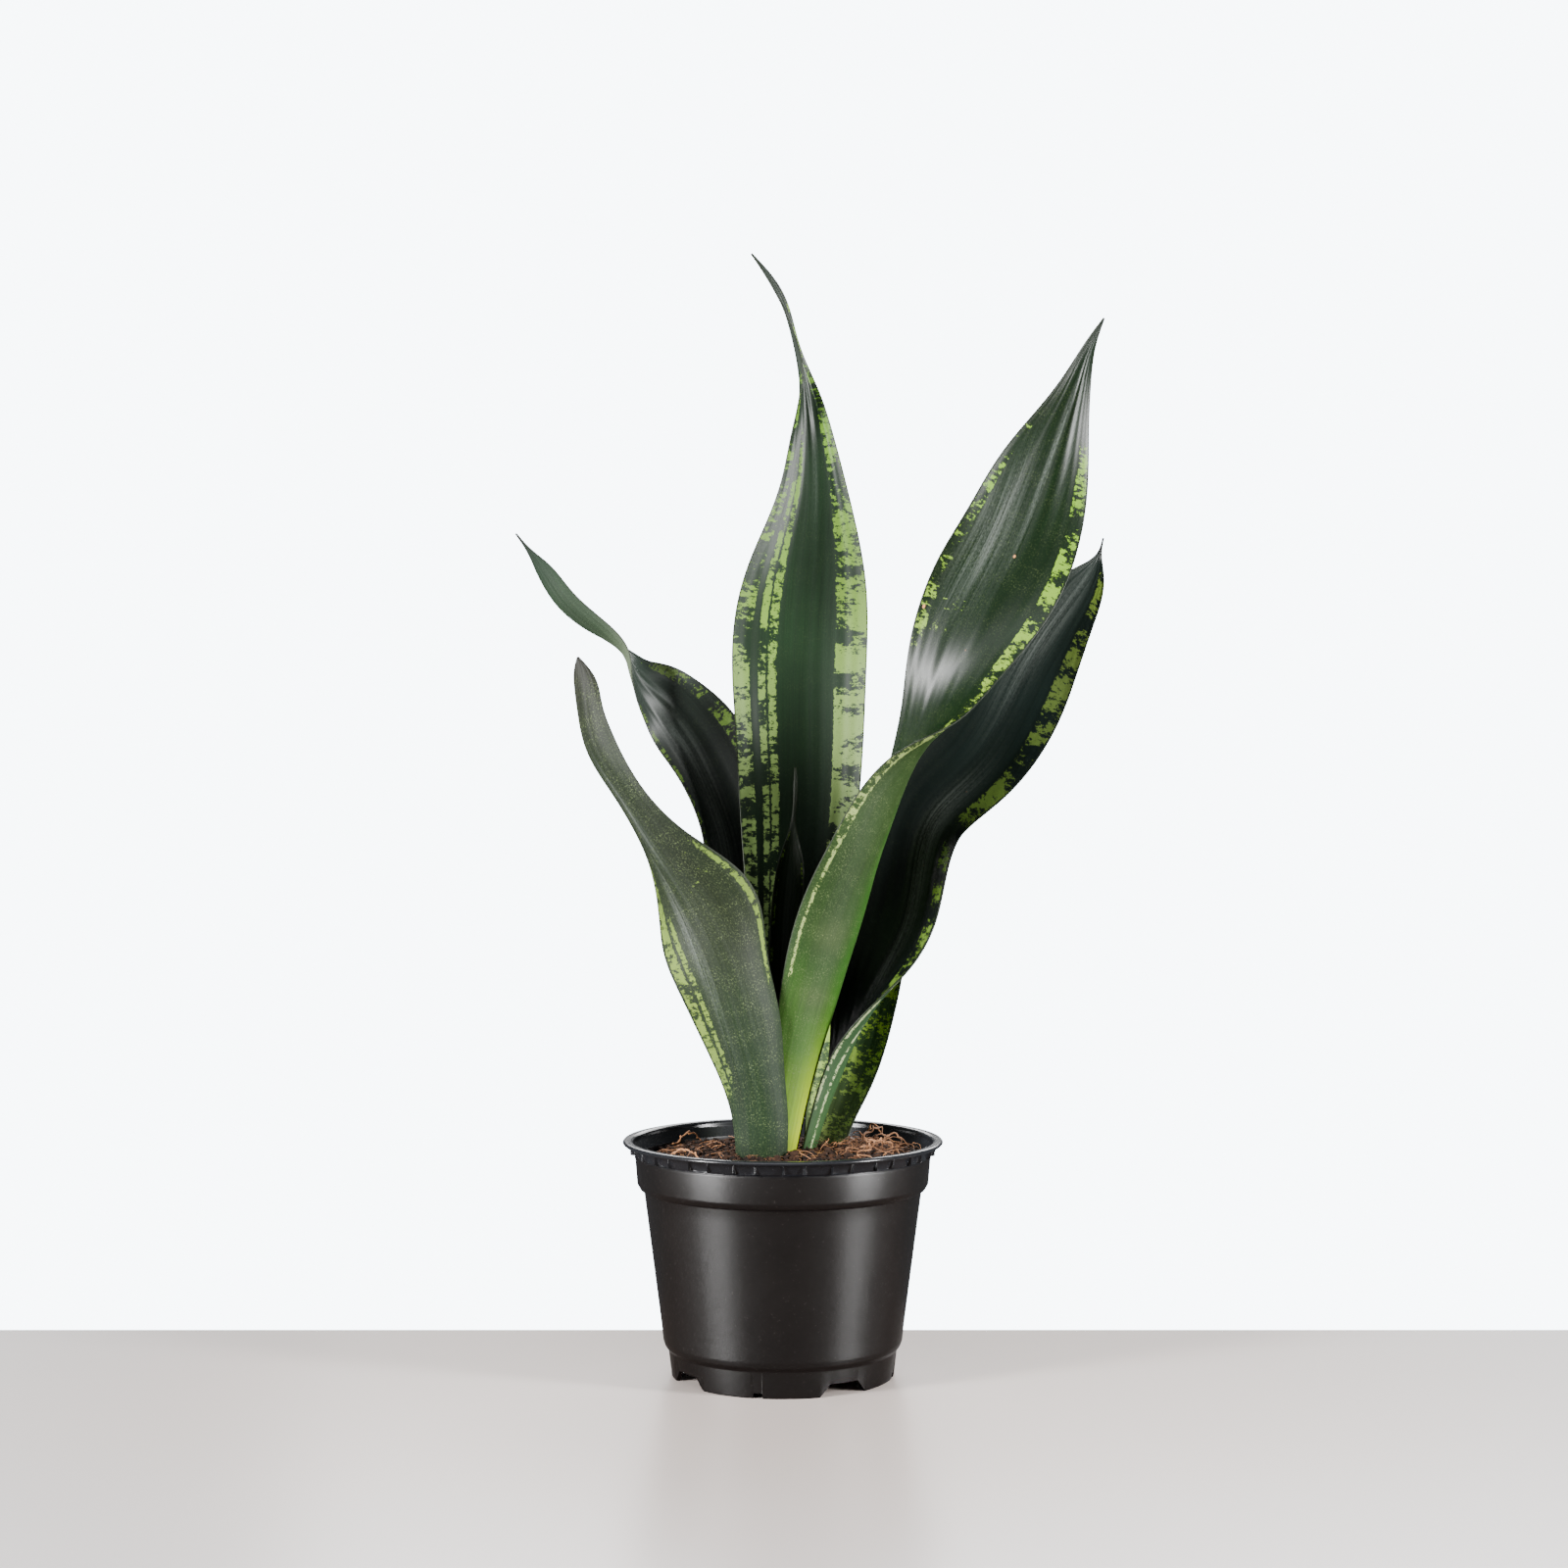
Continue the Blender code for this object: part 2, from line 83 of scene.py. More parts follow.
def natural_spline(where, values, at):
    """A natural cubic spline through values at where, read at the given places."""
    count = len(where)
    step = np.diff(where)
    system = np.eye(count)
    right = np.zeros((count, values.shape[1]))
    for row in range(1, count - 1):
        system[row, row - 1:row + 2] = step[row - 1], 2.0 * (step[row - 1] + step[row]), step[row]
        after = (values[row + 1] - values[row]) / step[row]
        before = (values[row] - values[row - 1]) / step[row - 1]
        right[row] = 6.0 * (after - before)
    bend = np.linalg.solve(system, right)
    index = np.clip(np.searchsorted(where, at) - 1, 0, count - 2)
    width = step[index][:, None]
    left = (where[index + 1] - at)[:, None] / width
    rest = 1.0 - left
    curve = (left ** 3 - left) * bend[index] + (rest ** 3 - rest) * bend[index + 1]
    return left * values[index] + rest * values[index + 1] + curve * width ** 2 / 6.0


def soft_noise(points, size, seed, octaves=4):
    """Layered value noise from -1 to 1 at points: a lattice of random values, smoothly blended."""
    total = np.zeros(len(points))
    reach = 0.0
    for octave in range(octaves):
        cell = np.asarray(points, float) * (2.0 ** octave) / size
        corner = np.floor(cell).astype(np.int64)
        part = cell - corner
        part = part * part * (3.0 - 2.0 * part)
        value = np.zeros(len(points))
        for offset in range(8):
            bits = np.array([(offset >> axis) & 1 for axis in range(3)])
            key = (corner + bits) * np.array(AXIS_PRIMES)
            mixed = (key[:, 0] ^ key[:, 1] ^ key[:, 2]) + seed * SEED_PRIME + octave * OCTAVE_PRIME
            mixed = (mixed ^ (mixed >> 13)) * MIXING_FACTOR & MIXING_MASK
            mixed = mixed ^ (mixed >> 16)
            random = (mixed % NOISE_LEVELS) / (0.5 * (NOISE_LEVELS - 1)) - 1.0
            value += random * np.prod(np.where(bits, part, 1.0 - part), axis=1)
        total += value * 0.5 ** octave
        reach += 0.5 ** octave
    return total / reach


def grid_faces(rows, columns):
    """Quads over a grid of points that is joined round in the column direction."""
    row = np.arange(rows - 1)[:, None]
    column = np.arange(columns)[None, :]
    after = (column + 1) % columns
    corners = [row * columns + column, row * columns + after, (row + 1) * columns + after,
               (row + 1) * columns + column]
    return np.stack([np.broadcast_to(c, (rows - 1, columns)) for c in corners], -1).reshape(-1, 4)


def end_caps(rows, columns):
    """Triangles that close both ends of a grid's rings, each from the ring's first point."""
    corner = np.arange(1, columns - 1)
    first = np.stack([np.zeros_like(corner), corner + 1, corner], -1)
    return np.concatenate([first, first[:, [0, 2, 1]] + (rows - 1) * columns])


def closed_grid(grid, first, last, flipped=False):
    """Vertices, quads and triangles of rings of points, with a fan round a middle point at each end."""
    rows, columns = grid.shape[:2]
    vertices = np.vstack([grid.reshape(-1, 3), first, last])
    quads = grid_faces(rows, columns)
    here = np.arange(columns)
    after = (here + 1) % columns
    start = np.stack([np.full(columns, rows * columns), after, here], -1)
    end = np.stack([np.full(columns, rows * columns + 1), here, after], -1)
    end[:, 1:] += (rows - 1) * columns
    triangles = np.concatenate([start, end])
    if flipped:
        quads, triangles = quads[:, ::-1], triangles[:, ::-1]
    return vertices, quads, triangles


def repeated(faces, count, size):
    """The same faces for each of count bodies with size vertices each."""
    shift = (np.arange(count) * size)[:, None, None]
    return (faces[None] + shift).reshape(-1, faces.shape[1])


def turned(radius, height, angles):
    """Rows of points turned round the Z axis, anticlockwise from the front."""
    return np.stack(np.broadcast_arrays(radius * np.sin(angles), -radius * np.cos(angles), height), -1)


def make_piece(name, vertices, quads, triangles=None, material=None, attributes=None, uv=None):
    """Puts arrays of vertices in millimetres, quads and triangles into a new smooth mesh object."""
    triangles = np.zeros((0, 3), int) if triangles is None else triangles
    mesh = bpy.data.meshes.new(name)
    mesh.vertices.add(len(vertices))
    mesh.vertices.foreach_set("co", (np.asarray(vertices, float) * MM).astype(np.float32).ravel())
    corners = np.concatenate([np.asarray(quads).ravel(), np.asarray(triangles).ravel()])
    sizes = np.concatenate([np.full(len(quads), 4), np.full(len(triangles), 3)])
    starts = np.concatenate([[0], np.cumsum(sizes)[:-1]])
    mesh.loops.add(len(corners))
    mesh.loops.foreach_set("vertex_index", corners.astype(np.int32))
    mesh.polygons.add(len(sizes))
    mesh.polygons.foreach_set("loop_start", starts.astype(np.int32))
    mesh.polygons.foreach_set("use_smooth", np.ones(len(sizes), bool))
    mesh.update(calc_edges=True)
    if uv is not None:
        layer = mesh.uv_layers.new(name="surface")
        layer.data.foreach_set("uv", uv[corners].astype(np.float32).ravel())
    for key, values in (attributes or {}).items():
        kind = "FLOAT" if np.ndim(values) == 1 else "FLOAT_COLOR"
        layer = mesh.attributes.new(key, kind, "POINT")
        if kind == "FLOAT":
            layer.data.foreach_set("value", values.astype(np.float32))
        else:
            alpha = np.ones((len(values), 1))
            layer.data.foreach_set("color", np.hstack([values, alpha]).astype(np.float32).ravel())
    if material is not None:
        mesh.materials.append(material)
    piece = bpy.data.objects.new(name, mesh)
    bpy.context.scene.collection.objects.link(piece)
    return piece


# ---------------- node helpers

class Nodes:
    """A short way to add nodes to a tree and to join them. A value given for a socket is its setting."""

    def __init__(self, tree):
        self.tree = tree

    def set(self, node, key, value):
        """Links a socket to the input with this name or index, or sets its value."""
        socket = node.inputs[key]
        if isinstance(value, bpy.types.NodeSocket):
            self.tree.links.new(value, socket)
        elif socket.type == "RGBA":
            socket.default_value = (*value, 1.0)
        else:
            socket.default_value = value

    def add(self, kind, settings=None, **inputs):
        node = self.tree.nodes.new("ShaderNode" + kind)
        for key, value in (settings or {}).items():
            setattr(node, key, value)
        for key, value in inputs.items():
            self.set(node, key, value)
        return node

    def math(self, operation, *values):
        node = self.add("Math", {"operation": operation})
        for index, value in enumerate(values):
            self.set(node, index, value)
        return node.outputs[0]

    def weighted(self, base, *parts):
        """A base value plus each part's socket times its weight."""
        total = base
        for socket, weight in parts:
            total = self.math("MULTIPLY_ADD", socket, weight, total)
        return total

    def mix(self, share, first, second, blend="MIX"):
        """Two colours mixed: the node's inputs 6 and 7 and output 2 are the ones for colours."""
        node = self.add("Mix", {"data_type": "RGBA", "blend_type": blend})
        for index, value in ((0, share), (6, first), (7, second)):
            self.set(node, index, value)
        return node.outputs[2]

    def dimmed(self, colour, tone):
        """A colour multiplied by a value."""
        grey = self.add("CombineColor", Red=tone, Green=tone, Blue=tone).outputs[0]
        return self.mix(1.0, colour, grey, "MULTIPLY")

    def step(self, value, low, high):
        """0 below low and 1 above high, with an S-shaped change."""
        node = self.add("MapRange", {"interpolation_type": "SMOOTHSTEP"}, Value=value)
        self.set(node, "From Min", low)
        self.set(node, "From Max", high)
        return node.outputs["Result"]

    def stretched(self, vector, scale):
        return self.add("Mapping", {"vector_type": "POINT"}, Vector=vector, Scale=scale).outputs["Vector"]

    def noise(self, vector, scale, detail, roughness):
        node = self.add("TexNoise", Vector=vector, Scale=scale, Detail=detail, Roughness=roughness)
        return node.outputs["Fac"]

    def bump(self, shader, height, strength, distance):
        node = self.add("Bump", Height=height, Strength=strength, Distance=distance)
        self.set(shader, "Normal", node.outputs["Normal"])

    def attribute(self, name, output="Fac"):
        return self.add("Attribute", {"attribute_name": name}).outputs[output]


def new_material(name):
    material = bpy.data.materials.new(name)
    material.use_nodes = True
    return material, Nodes(material.node_tree), material.node_tree.nodes["Principled BSDF"]


# ---------------- leaf finish

# Noises over the leaf's map, whose unit is 100 mm: scale across and along, detail, roughness
LEAF_NOISES = {
    "ragged": (110.0, 45.0, 4.0, 0.62),  # torn sides of the pale bands
    "clusters": (5.0, 9.0, 2.0, 0.5),  # where the dark mottles gather
    "bars": (26.0, 46.0, 6.0, 0.72),  # the mottles
    "wide": (5.0, 2.2, 3.0, 0.5),  # slow changes of tone
    "lines": (130.0, 1.6, 3.0, 0.6),  # lengthwise lines in the green
    "fine": (210.0, 160.0, 2.0, 0.7),  # grain of the pale bands
    "dust": (150.0, 105.0, 3.0, 0.8),  # pale specks
    "drift": (9.0, 14.0, 4.0, 0.6),  # where the specks gather
    "streaks": (75.0, 1.1, 4.0, 0.7),  # streaks of the silver bloom and of the painted sheen
    "grain": (260.0, 60.0, 2.0, 0.6),  # breaks in the streaks
    "fibres": (160.0, 2.6, 4.0, 0.6),  # relief of the fibres
    "stipple": (330.0, 260.0, 2.0, 0.6),  # relief of the skin
}
RAGGED_REACH = 2.4  # how far the noise moves the sides of a band
BAND_FADE = (-0.06, 0.14)
CLUSTER_SHARE = 0.42  # the rest of the mottles comes from the bars
MOTTLE_LEVEL = 0.385
MOTTLE_GAIN = 0.20
MOTTLE_FADE = (-0.006, 0.010)
GROUND_TONE = (0.06, 0.40, 0.50)  # base, and the shares of the wide noise and the lines
LIGHT_TONE = (0.24, 0.40, 0.30)  # base, and the shares of the fine and the wide noise
DUST_FADE = (0.50, 0.72)
DRIFT_FADE = (0.40, 0.66)
DUST_BETWEEN = 0.25  # share of the dust that lies outside the drifts
DUST_COLOUR = (0.125, 0.165, 0.065)
SCAR_CELLS = (7.0, 5.0, 1.0)  # cells to a unit of the map
SCAR_FADE = (0.035, 0.060)  # a scar's radius, as a share of a cell
SCAR_CELL_LIMIT = 0.80  # only the cells whose random value is above this have a scar
SCAR_STRENGTH = 0.9
SCAR_COLOUR = (0.60, 0.26, 0.11)
MARGIN_COLOUR = shade(26, 32, 20)
GRAIN_SHARE = 0.35
STREAK_FADE = (0.36, 0.68)
# Grey of the silver bloom and the painted sheen, and how strongly it is laid on
BLOOM_AND_SHEEN_STRENGTH = 0.7
BLOOM_AND_SHEEN_COLOUR = (0.20, 0.225, 0.205)
STIPPLE_SHARE = 0.35
PALE_ROUGHER = 0.06  # what pale bands, outer faces and the bloom with painted sheen add to the roughness
OUTER_ROUGHER = 0.22
BLOOM_AND_SHEEN_ROUGHER = 0.10
LEAF_SPECULAR = 0.28
LEAF_BUMP = (0.20, 0.00008)  # strength, distance


def leaf_noise(n, surface, name):
    across, along, detail, roughness = LEAF_NOISES[name]
    return n.noise(n.stretched(surface, (across, along, 1.0)), 1.0, detail, roughness)


def leaf_finish_group():
    """Turns a leaf's painted attributes into its colour: ragged pale bands, dark mottles, dust and scars.

    Its other outputs are the shares of pale band and of silver bloom with painted sheen, and the height of
    the skin's relief.
    """
    group = bpy.data.node_groups.new("leaf finish", "ShaderNodeTree")
    group.interface.new_socket("Speckle", in_out="INPUT", socket_type="NodeSocketFloat")
    group.interface.new_socket("Color", in_out="OUTPUT", socket_type="NodeSocketColor")
    for key in ("Pale", "Bloom_and_sheen", "Height"):
        group.interface.new_socket(key, in_out="OUTPUT", socket_type="NodeSocketFloat")
    n = Nodes(group)
    speckle = group.nodes.new("NodeGroupInput").outputs["Speckle"]
    surface = n.add("UVMap", {"uv_map": "surface"}).outputs["UV"]
    wander = n.math("MULTIPLY", n.math("SUBTRACT", leaf_noise(n, surface, "ragged"), 0.5), RAGGED_REACH)
    inside = n.step(n.math("ADD", n.attribute("pale"), wander), *BAND_FADE)
    blotched = n.weighted(0.0, (leaf_noise(n, surface, "bars"), 1.0 - CLUSTER_SHARE),
                          (leaf_noise(n, surface, "clusters"), CLUSTER_SHARE))
    level = n.math("MULTIPLY_ADD", n.attribute("mottle"), MOTTLE_GAIN, MOTTLE_LEVEL)
    pale = n.math("MULTIPLY", inside, n.step(n.math("SUBTRACT", blotched, level), *MOTTLE_FADE))

    wide = leaf_noise(n, surface, "wide")
    base, from_wide, from_lines = GROUND_TONE
    tone = n.weighted(base, (wide, from_wide), (leaf_noise(n, surface, "lines"), from_lines))
    ground = n.dimmed(n.attribute("ground", "Color"), tone)
    base, from_fine, from_wide = LIGHT_TONE
    tone = n.weighted(base, (leaf_noise(n, surface, "fine"), from_fine), (wide, from_wide))
    light = n.dimmed(n.attribute("light", "Color"), tone)
    colour = n.mix(pale, ground, light)

    drift = n.step(leaf_noise(n, surface, "drift"), *DRIFT_FADE)
    dusty = n.math("MULTIPLY", n.step(leaf_noise(n, surface, "dust"), *DUST_FADE), n.attribute("speckle"))
    dusty = n.math("MULTIPLY", dusty, n.math("MULTIPLY_ADD", drift, 1.0 - DUST_BETWEEN, DUST_BETWEEN))
    colour = n.mix(n.math("MULTIPLY", dusty, speckle), colour, DUST_COLOUR)

    cells = n.add("TexVoronoi", {"feature": "F1"}, Vector=n.stretched(surface, SCAR_CELLS), Scale=1.0)
    value = n.add("SeparateColor", Color=cells.outputs["Color"]).outputs[0]
    near = n.math("SUBTRACT", 1.0, n.step(cells.outputs["Distance"], *SCAR_FADE))
    scar = n.math("MULTIPLY", near, n.math("GREATER_THAN", value, SCAR_CELL_LIMIT))
    colour = n.mix(n.math("MULTIPLY", scar, SCAR_STRENGTH), colour, SCAR_COLOUR)
    colour = n.mix(n.attribute("margin"), colour, MARGIN_COLOUR)

    # Grey streaks of silver bloom and painted sheen, laid where the bloom_and_sheen attribute is
    streaks = n.weighted(0.0, (leaf_noise(n, surface, "streaks"), 1.0 - GRAIN_SHARE),
                         (leaf_noise(n, surface, "grain"), GRAIN_SHARE))
    bloom_and_sheen = n.math("MULTIPLY", n.attribute("bloom_and_sheen"), n.step(streaks, *STREAK_FADE))
    colour = n.mix(n.math("MULTIPLY", bloom_and_sheen, BLOOM_AND_SHEEN_STRENGTH), colour, BLOOM_AND_SHEEN_COLOUR)
    stipple = leaf_noise(n, surface, "stipple")
    height = n.math("MULTIPLY_ADD", stipple, STIPPLE_SHARE, leaf_noise(n, surface, "fibres"))
    out = group.nodes.new("NodeGroupOutput")
    for key, value in (("Color", colour), ("Pale", pale), ("Bloom_and_sheen", bloom_and_sheen), ("Height", height)):
        n.set(out, key, value)
    return group


def leaf_material(name, finish, speckle, roughness):
    material, n, shader = new_material(name)
    made = n.add("Group", {"node_tree": finish}, Speckle=speckle).outputs
    n.set(shader, "Base Color", made["Color"])
    rough = n.weighted(roughness, (made["Pale"], PALE_ROUGHER), (n.attribute("matt"), OUTER_ROUGHER),
                       (made["Bloom_and_sheen"], BLOOM_AND_SHEEN_ROUGHER))
    n.set(shader, "Roughness", rough)
    n.set(shader, "Specular IOR Level", LEAF_SPECULAR)
    n.bump(shader, made["Height"], *LEAF_BUMP)
    return material


# ---------------- leaf shape

LEAF_ROWS = 360
LEAF_HALF_COLUMNS = 60
LEAF_THICKNESS = ((0.0, 3.4), (0.25, 2.6), (0.8, 1.6), (1.0, 0.9))  # share of length, thickness
EDGE_THICKNESS = 0.30  # share of the thickness that is left at the margins
TIP_THICKNESS = (0.9, 0.35)  # where the leaf is narrow: this share of the half width, and this more
MARGIN_RADIUS = 0.42
SHORTEST_HALF_WIDTH = 0.3
WAVE_START = 0.3  # share of the half width where the waves of a margin begin
WAVE_ENDS = (0.2, 0.85)  # shares of the length where they are full
RIDGE_FADE = 0.12  # share of the length over which a ridge rises and falls
FAINT_RIDGES = ((0.05, 21.0, 1.0, 0.0), (0.04, 34.0, 2.0, 3.0))  # height, waves, seed's part, drift
FAINT_END = 0.8
UV_SCALE = 0.01  # one unit of the leaf's map is 100 mm
OUTER_UV_SHIFT = 400.0  # the outer face, and each leaf, has its own place on the map
LEAF_UV_SHIFT = 137.0


def middle_surface(values, across):
    """The leaf's middle surface, its normals and half widths, from the stations' splined values.

    Each half of the section bends through its own cup angle, and the section turns about the spline.
    """
    centre = values[:, :3]
    along = unit(np.gradient(centre, axis=0))
    level = unit(np.cross((0.0, 1.0, 0.0), along))
    front = np.cross(along, level)
    turn = np.radians(values[:, 4])[:, None]
    wide = (level * np.cos(turn) + front * np.sin(turn))[:, None, :]
    back = (front * np.cos(turn) - level * np.sin(turn))[:, None, :]
    half = np.maximum(values[:, 3], SHORTEST_HALF_WIDTH)[:, None]
    cup = np.radians(np.where(across[None, :] < 0.0, values[:, 5:6], values[:, 6:7]))
    sideways = np.sign(across) * np.sin(cup * np.abs(across)) / cup
    forward = (1.0 - np.cos(cup * np.abs(across))) / cup
    middle = centre[:, None, :] + half[..., None] * (wide * sideways[..., None] - back * forward[..., None])
    normal = unit(np.cross(np.gradient(middle, axis=0), np.gradient(middle, axis=1)))
    return middle, normal, half


def leaf_solid(stations, ridges, waves, seed):
    """A closed leaf on a grid of rows along and columns round the section.

    A station is (x, y, z, half width, turn, left cup, right cup). The two faces stand off the middle
    surface by half the thickness, which falls off towards the margins as the cube of the distance
    across and closes as a half circle. Ridges are lengthwise humps, and waves bend the margins.
    """
    stations = np.array(stations, float)
    steps = np.linalg.norm(np.diff(stations[:, :3], axis=0), axis=1)
    where = np.concatenate([[0.0], np.cumsum(steps)])
    length = where[-1]
    share = np.linspace(0.0, 1.0, LEAF_ROWS)
    across = -np.cos(np.linspace(0.0, np.pi, LEAF_HALF_COLUMNS))
    middle, normal, half = middle_surface(natural_spline(where, stations, share * length), across)

    v, u = np.meshgrid(share, across, indexing="ij")
    for size, period, side, phase in waves:
        weight = smooth(WAVE_START, 1.0, u * side)
        weight = weight * smooth(0.0, WAVE_ENDS[0], v) * smooth(1.0, WAVE_ENDS[1], v)
        wave = size * weight * np.sin(2.0 * np.pi * (v * length / period) + phase)
        middle = middle + normal * wave[..., None]

    thickness = np.interp(share, *zip(*LEAF_THICKNESS))[:, None]
    thickness = thickness * (1.0 - (1.0 - EDGE_THICKNESS) * np.abs(u) ** 3)
    thickness = np.minimum(thickness, TIP_THICKNESS[0] * half + TIP_THICKNESS[1])
    inset = np.clip((1.0 - np.abs(u)) * half / MARGIN_RADIUS, 0.0, 1.0)
    rounding = np.sqrt(np.clip(1.0 - (1.0 - inset) ** 2, 0.0, 1.0))
    offset = 0.5 * thickness * rounding

    ridge = np.zeros_like(u)
    for height, place, width, start, end in ridges:
        fade = smooth(start, start + RIDGE_FADE, v) * smooth(end, end - RIDGE_FADE, v)
        ridge += height * np.exp(-((u - place) / width) ** 2) * fade
    faint = np.zeros_like(u)
    for height, ups, part, drift in FAINT_RIDGES:
        faint += height * np.cos(u * ups + part * seed + v * drift)
    ridge = (ridge + faint * smooth(1.0, FAINT_END, np.abs(u))) * rounding

    inner = middle - normal * (offset + ridge)[..., None]
    outer = middle + normal * (offset - ridge)[..., None]
    face = np.concatenate([inner, outer[:, ::-1][:, 1:-1]], axis=1)
    columns = face.shape[1]
    u = np.concatenate([u, u[:, ::-1][:, 1:-1]], axis=1)
    v = np.concatenate([v, v[:, ::-1][:, 1:-1]], axis=1)
    half = np.broadcast_to(half, u.shape)
    outside = np.broadcast_to(np.arange(columns) >= LEAF_HALF_COLUMNS, u.shape).astype(float)
    uv = np.stack([u * half + outside * OUTER_UV_SHIFT + LEAF_UV_SHIFT * seed, v * length], -1) * UV_SCALE
    return SimpleNamespace(vertices=face.reshape(-1, 3), quads=grid_faces(LEAF_ROWS, columns),
                           triangles=end_caps(LEAF_ROWS, columns), uv=uv.reshape(-1, 2), length=length,
                           u=u.ravel(), v=v.ravel(), half=half.ravel(), outside=outside.ravel())


def paint(value):
    """A value as it is, or an sRGB colour made linear, as an array."""
    return shade(*value) if np.ndim(value) else np.array([value], float)


def painted(u, v, stops, patches):
    """A colour or a value that runs through stops along the leaf, with soft patches laid over it."""
    places = np.array([stop[0] for stop in stops])
    values = np.array([paint(stop[1]) for stop in stops])
    field = np.stack([np.interp(v, places, values[:, k]) for k in range(values.shape[1])], -1)
    for across, along, wide, long, value, strength in patches:
        weight = strength * np.exp(-((u - across) / wide) ** 2 - ((v - along) / long) ** 2)
        field += weight[:, None] * (paint(value) - field)
    return field


BAND_SIDE_RUN, BAND_END_RUN = 1.2, 14.0  # over these, across and along, a band's field goes from 0 to 1


def band_fields(leaf, bands):
    """Fields for bands (from, to, start, end, mottle): positive inside a band, and its share of mottles."""
    field = np.full(len(leaf.u), -1.0)
    mottle = np.full(len(leaf.u), 0.5)
    for low, high, start, end, amount in bands:
        near = np.minimum(leaf.u - low, high - leaf.u) * leaf.half / BAND_SIDE_RUN
        near = np.minimum(near, np.minimum(leaf.v - start, end - leaf.v) * leaf.length / BAND_END_RUN)
        near = np.clip(near, -1.0, 1.0)
        mottle = np.where(near > field, amount, mottle)
        field = np.maximum(field, near)
    return field, mottle


BLACK = (10, 18, 15)
SAGE = (92, 112, 84)
PALE = (176, 194, 142)
LIME = (150, 186, 70)
CREAM = (214, 220, 160)
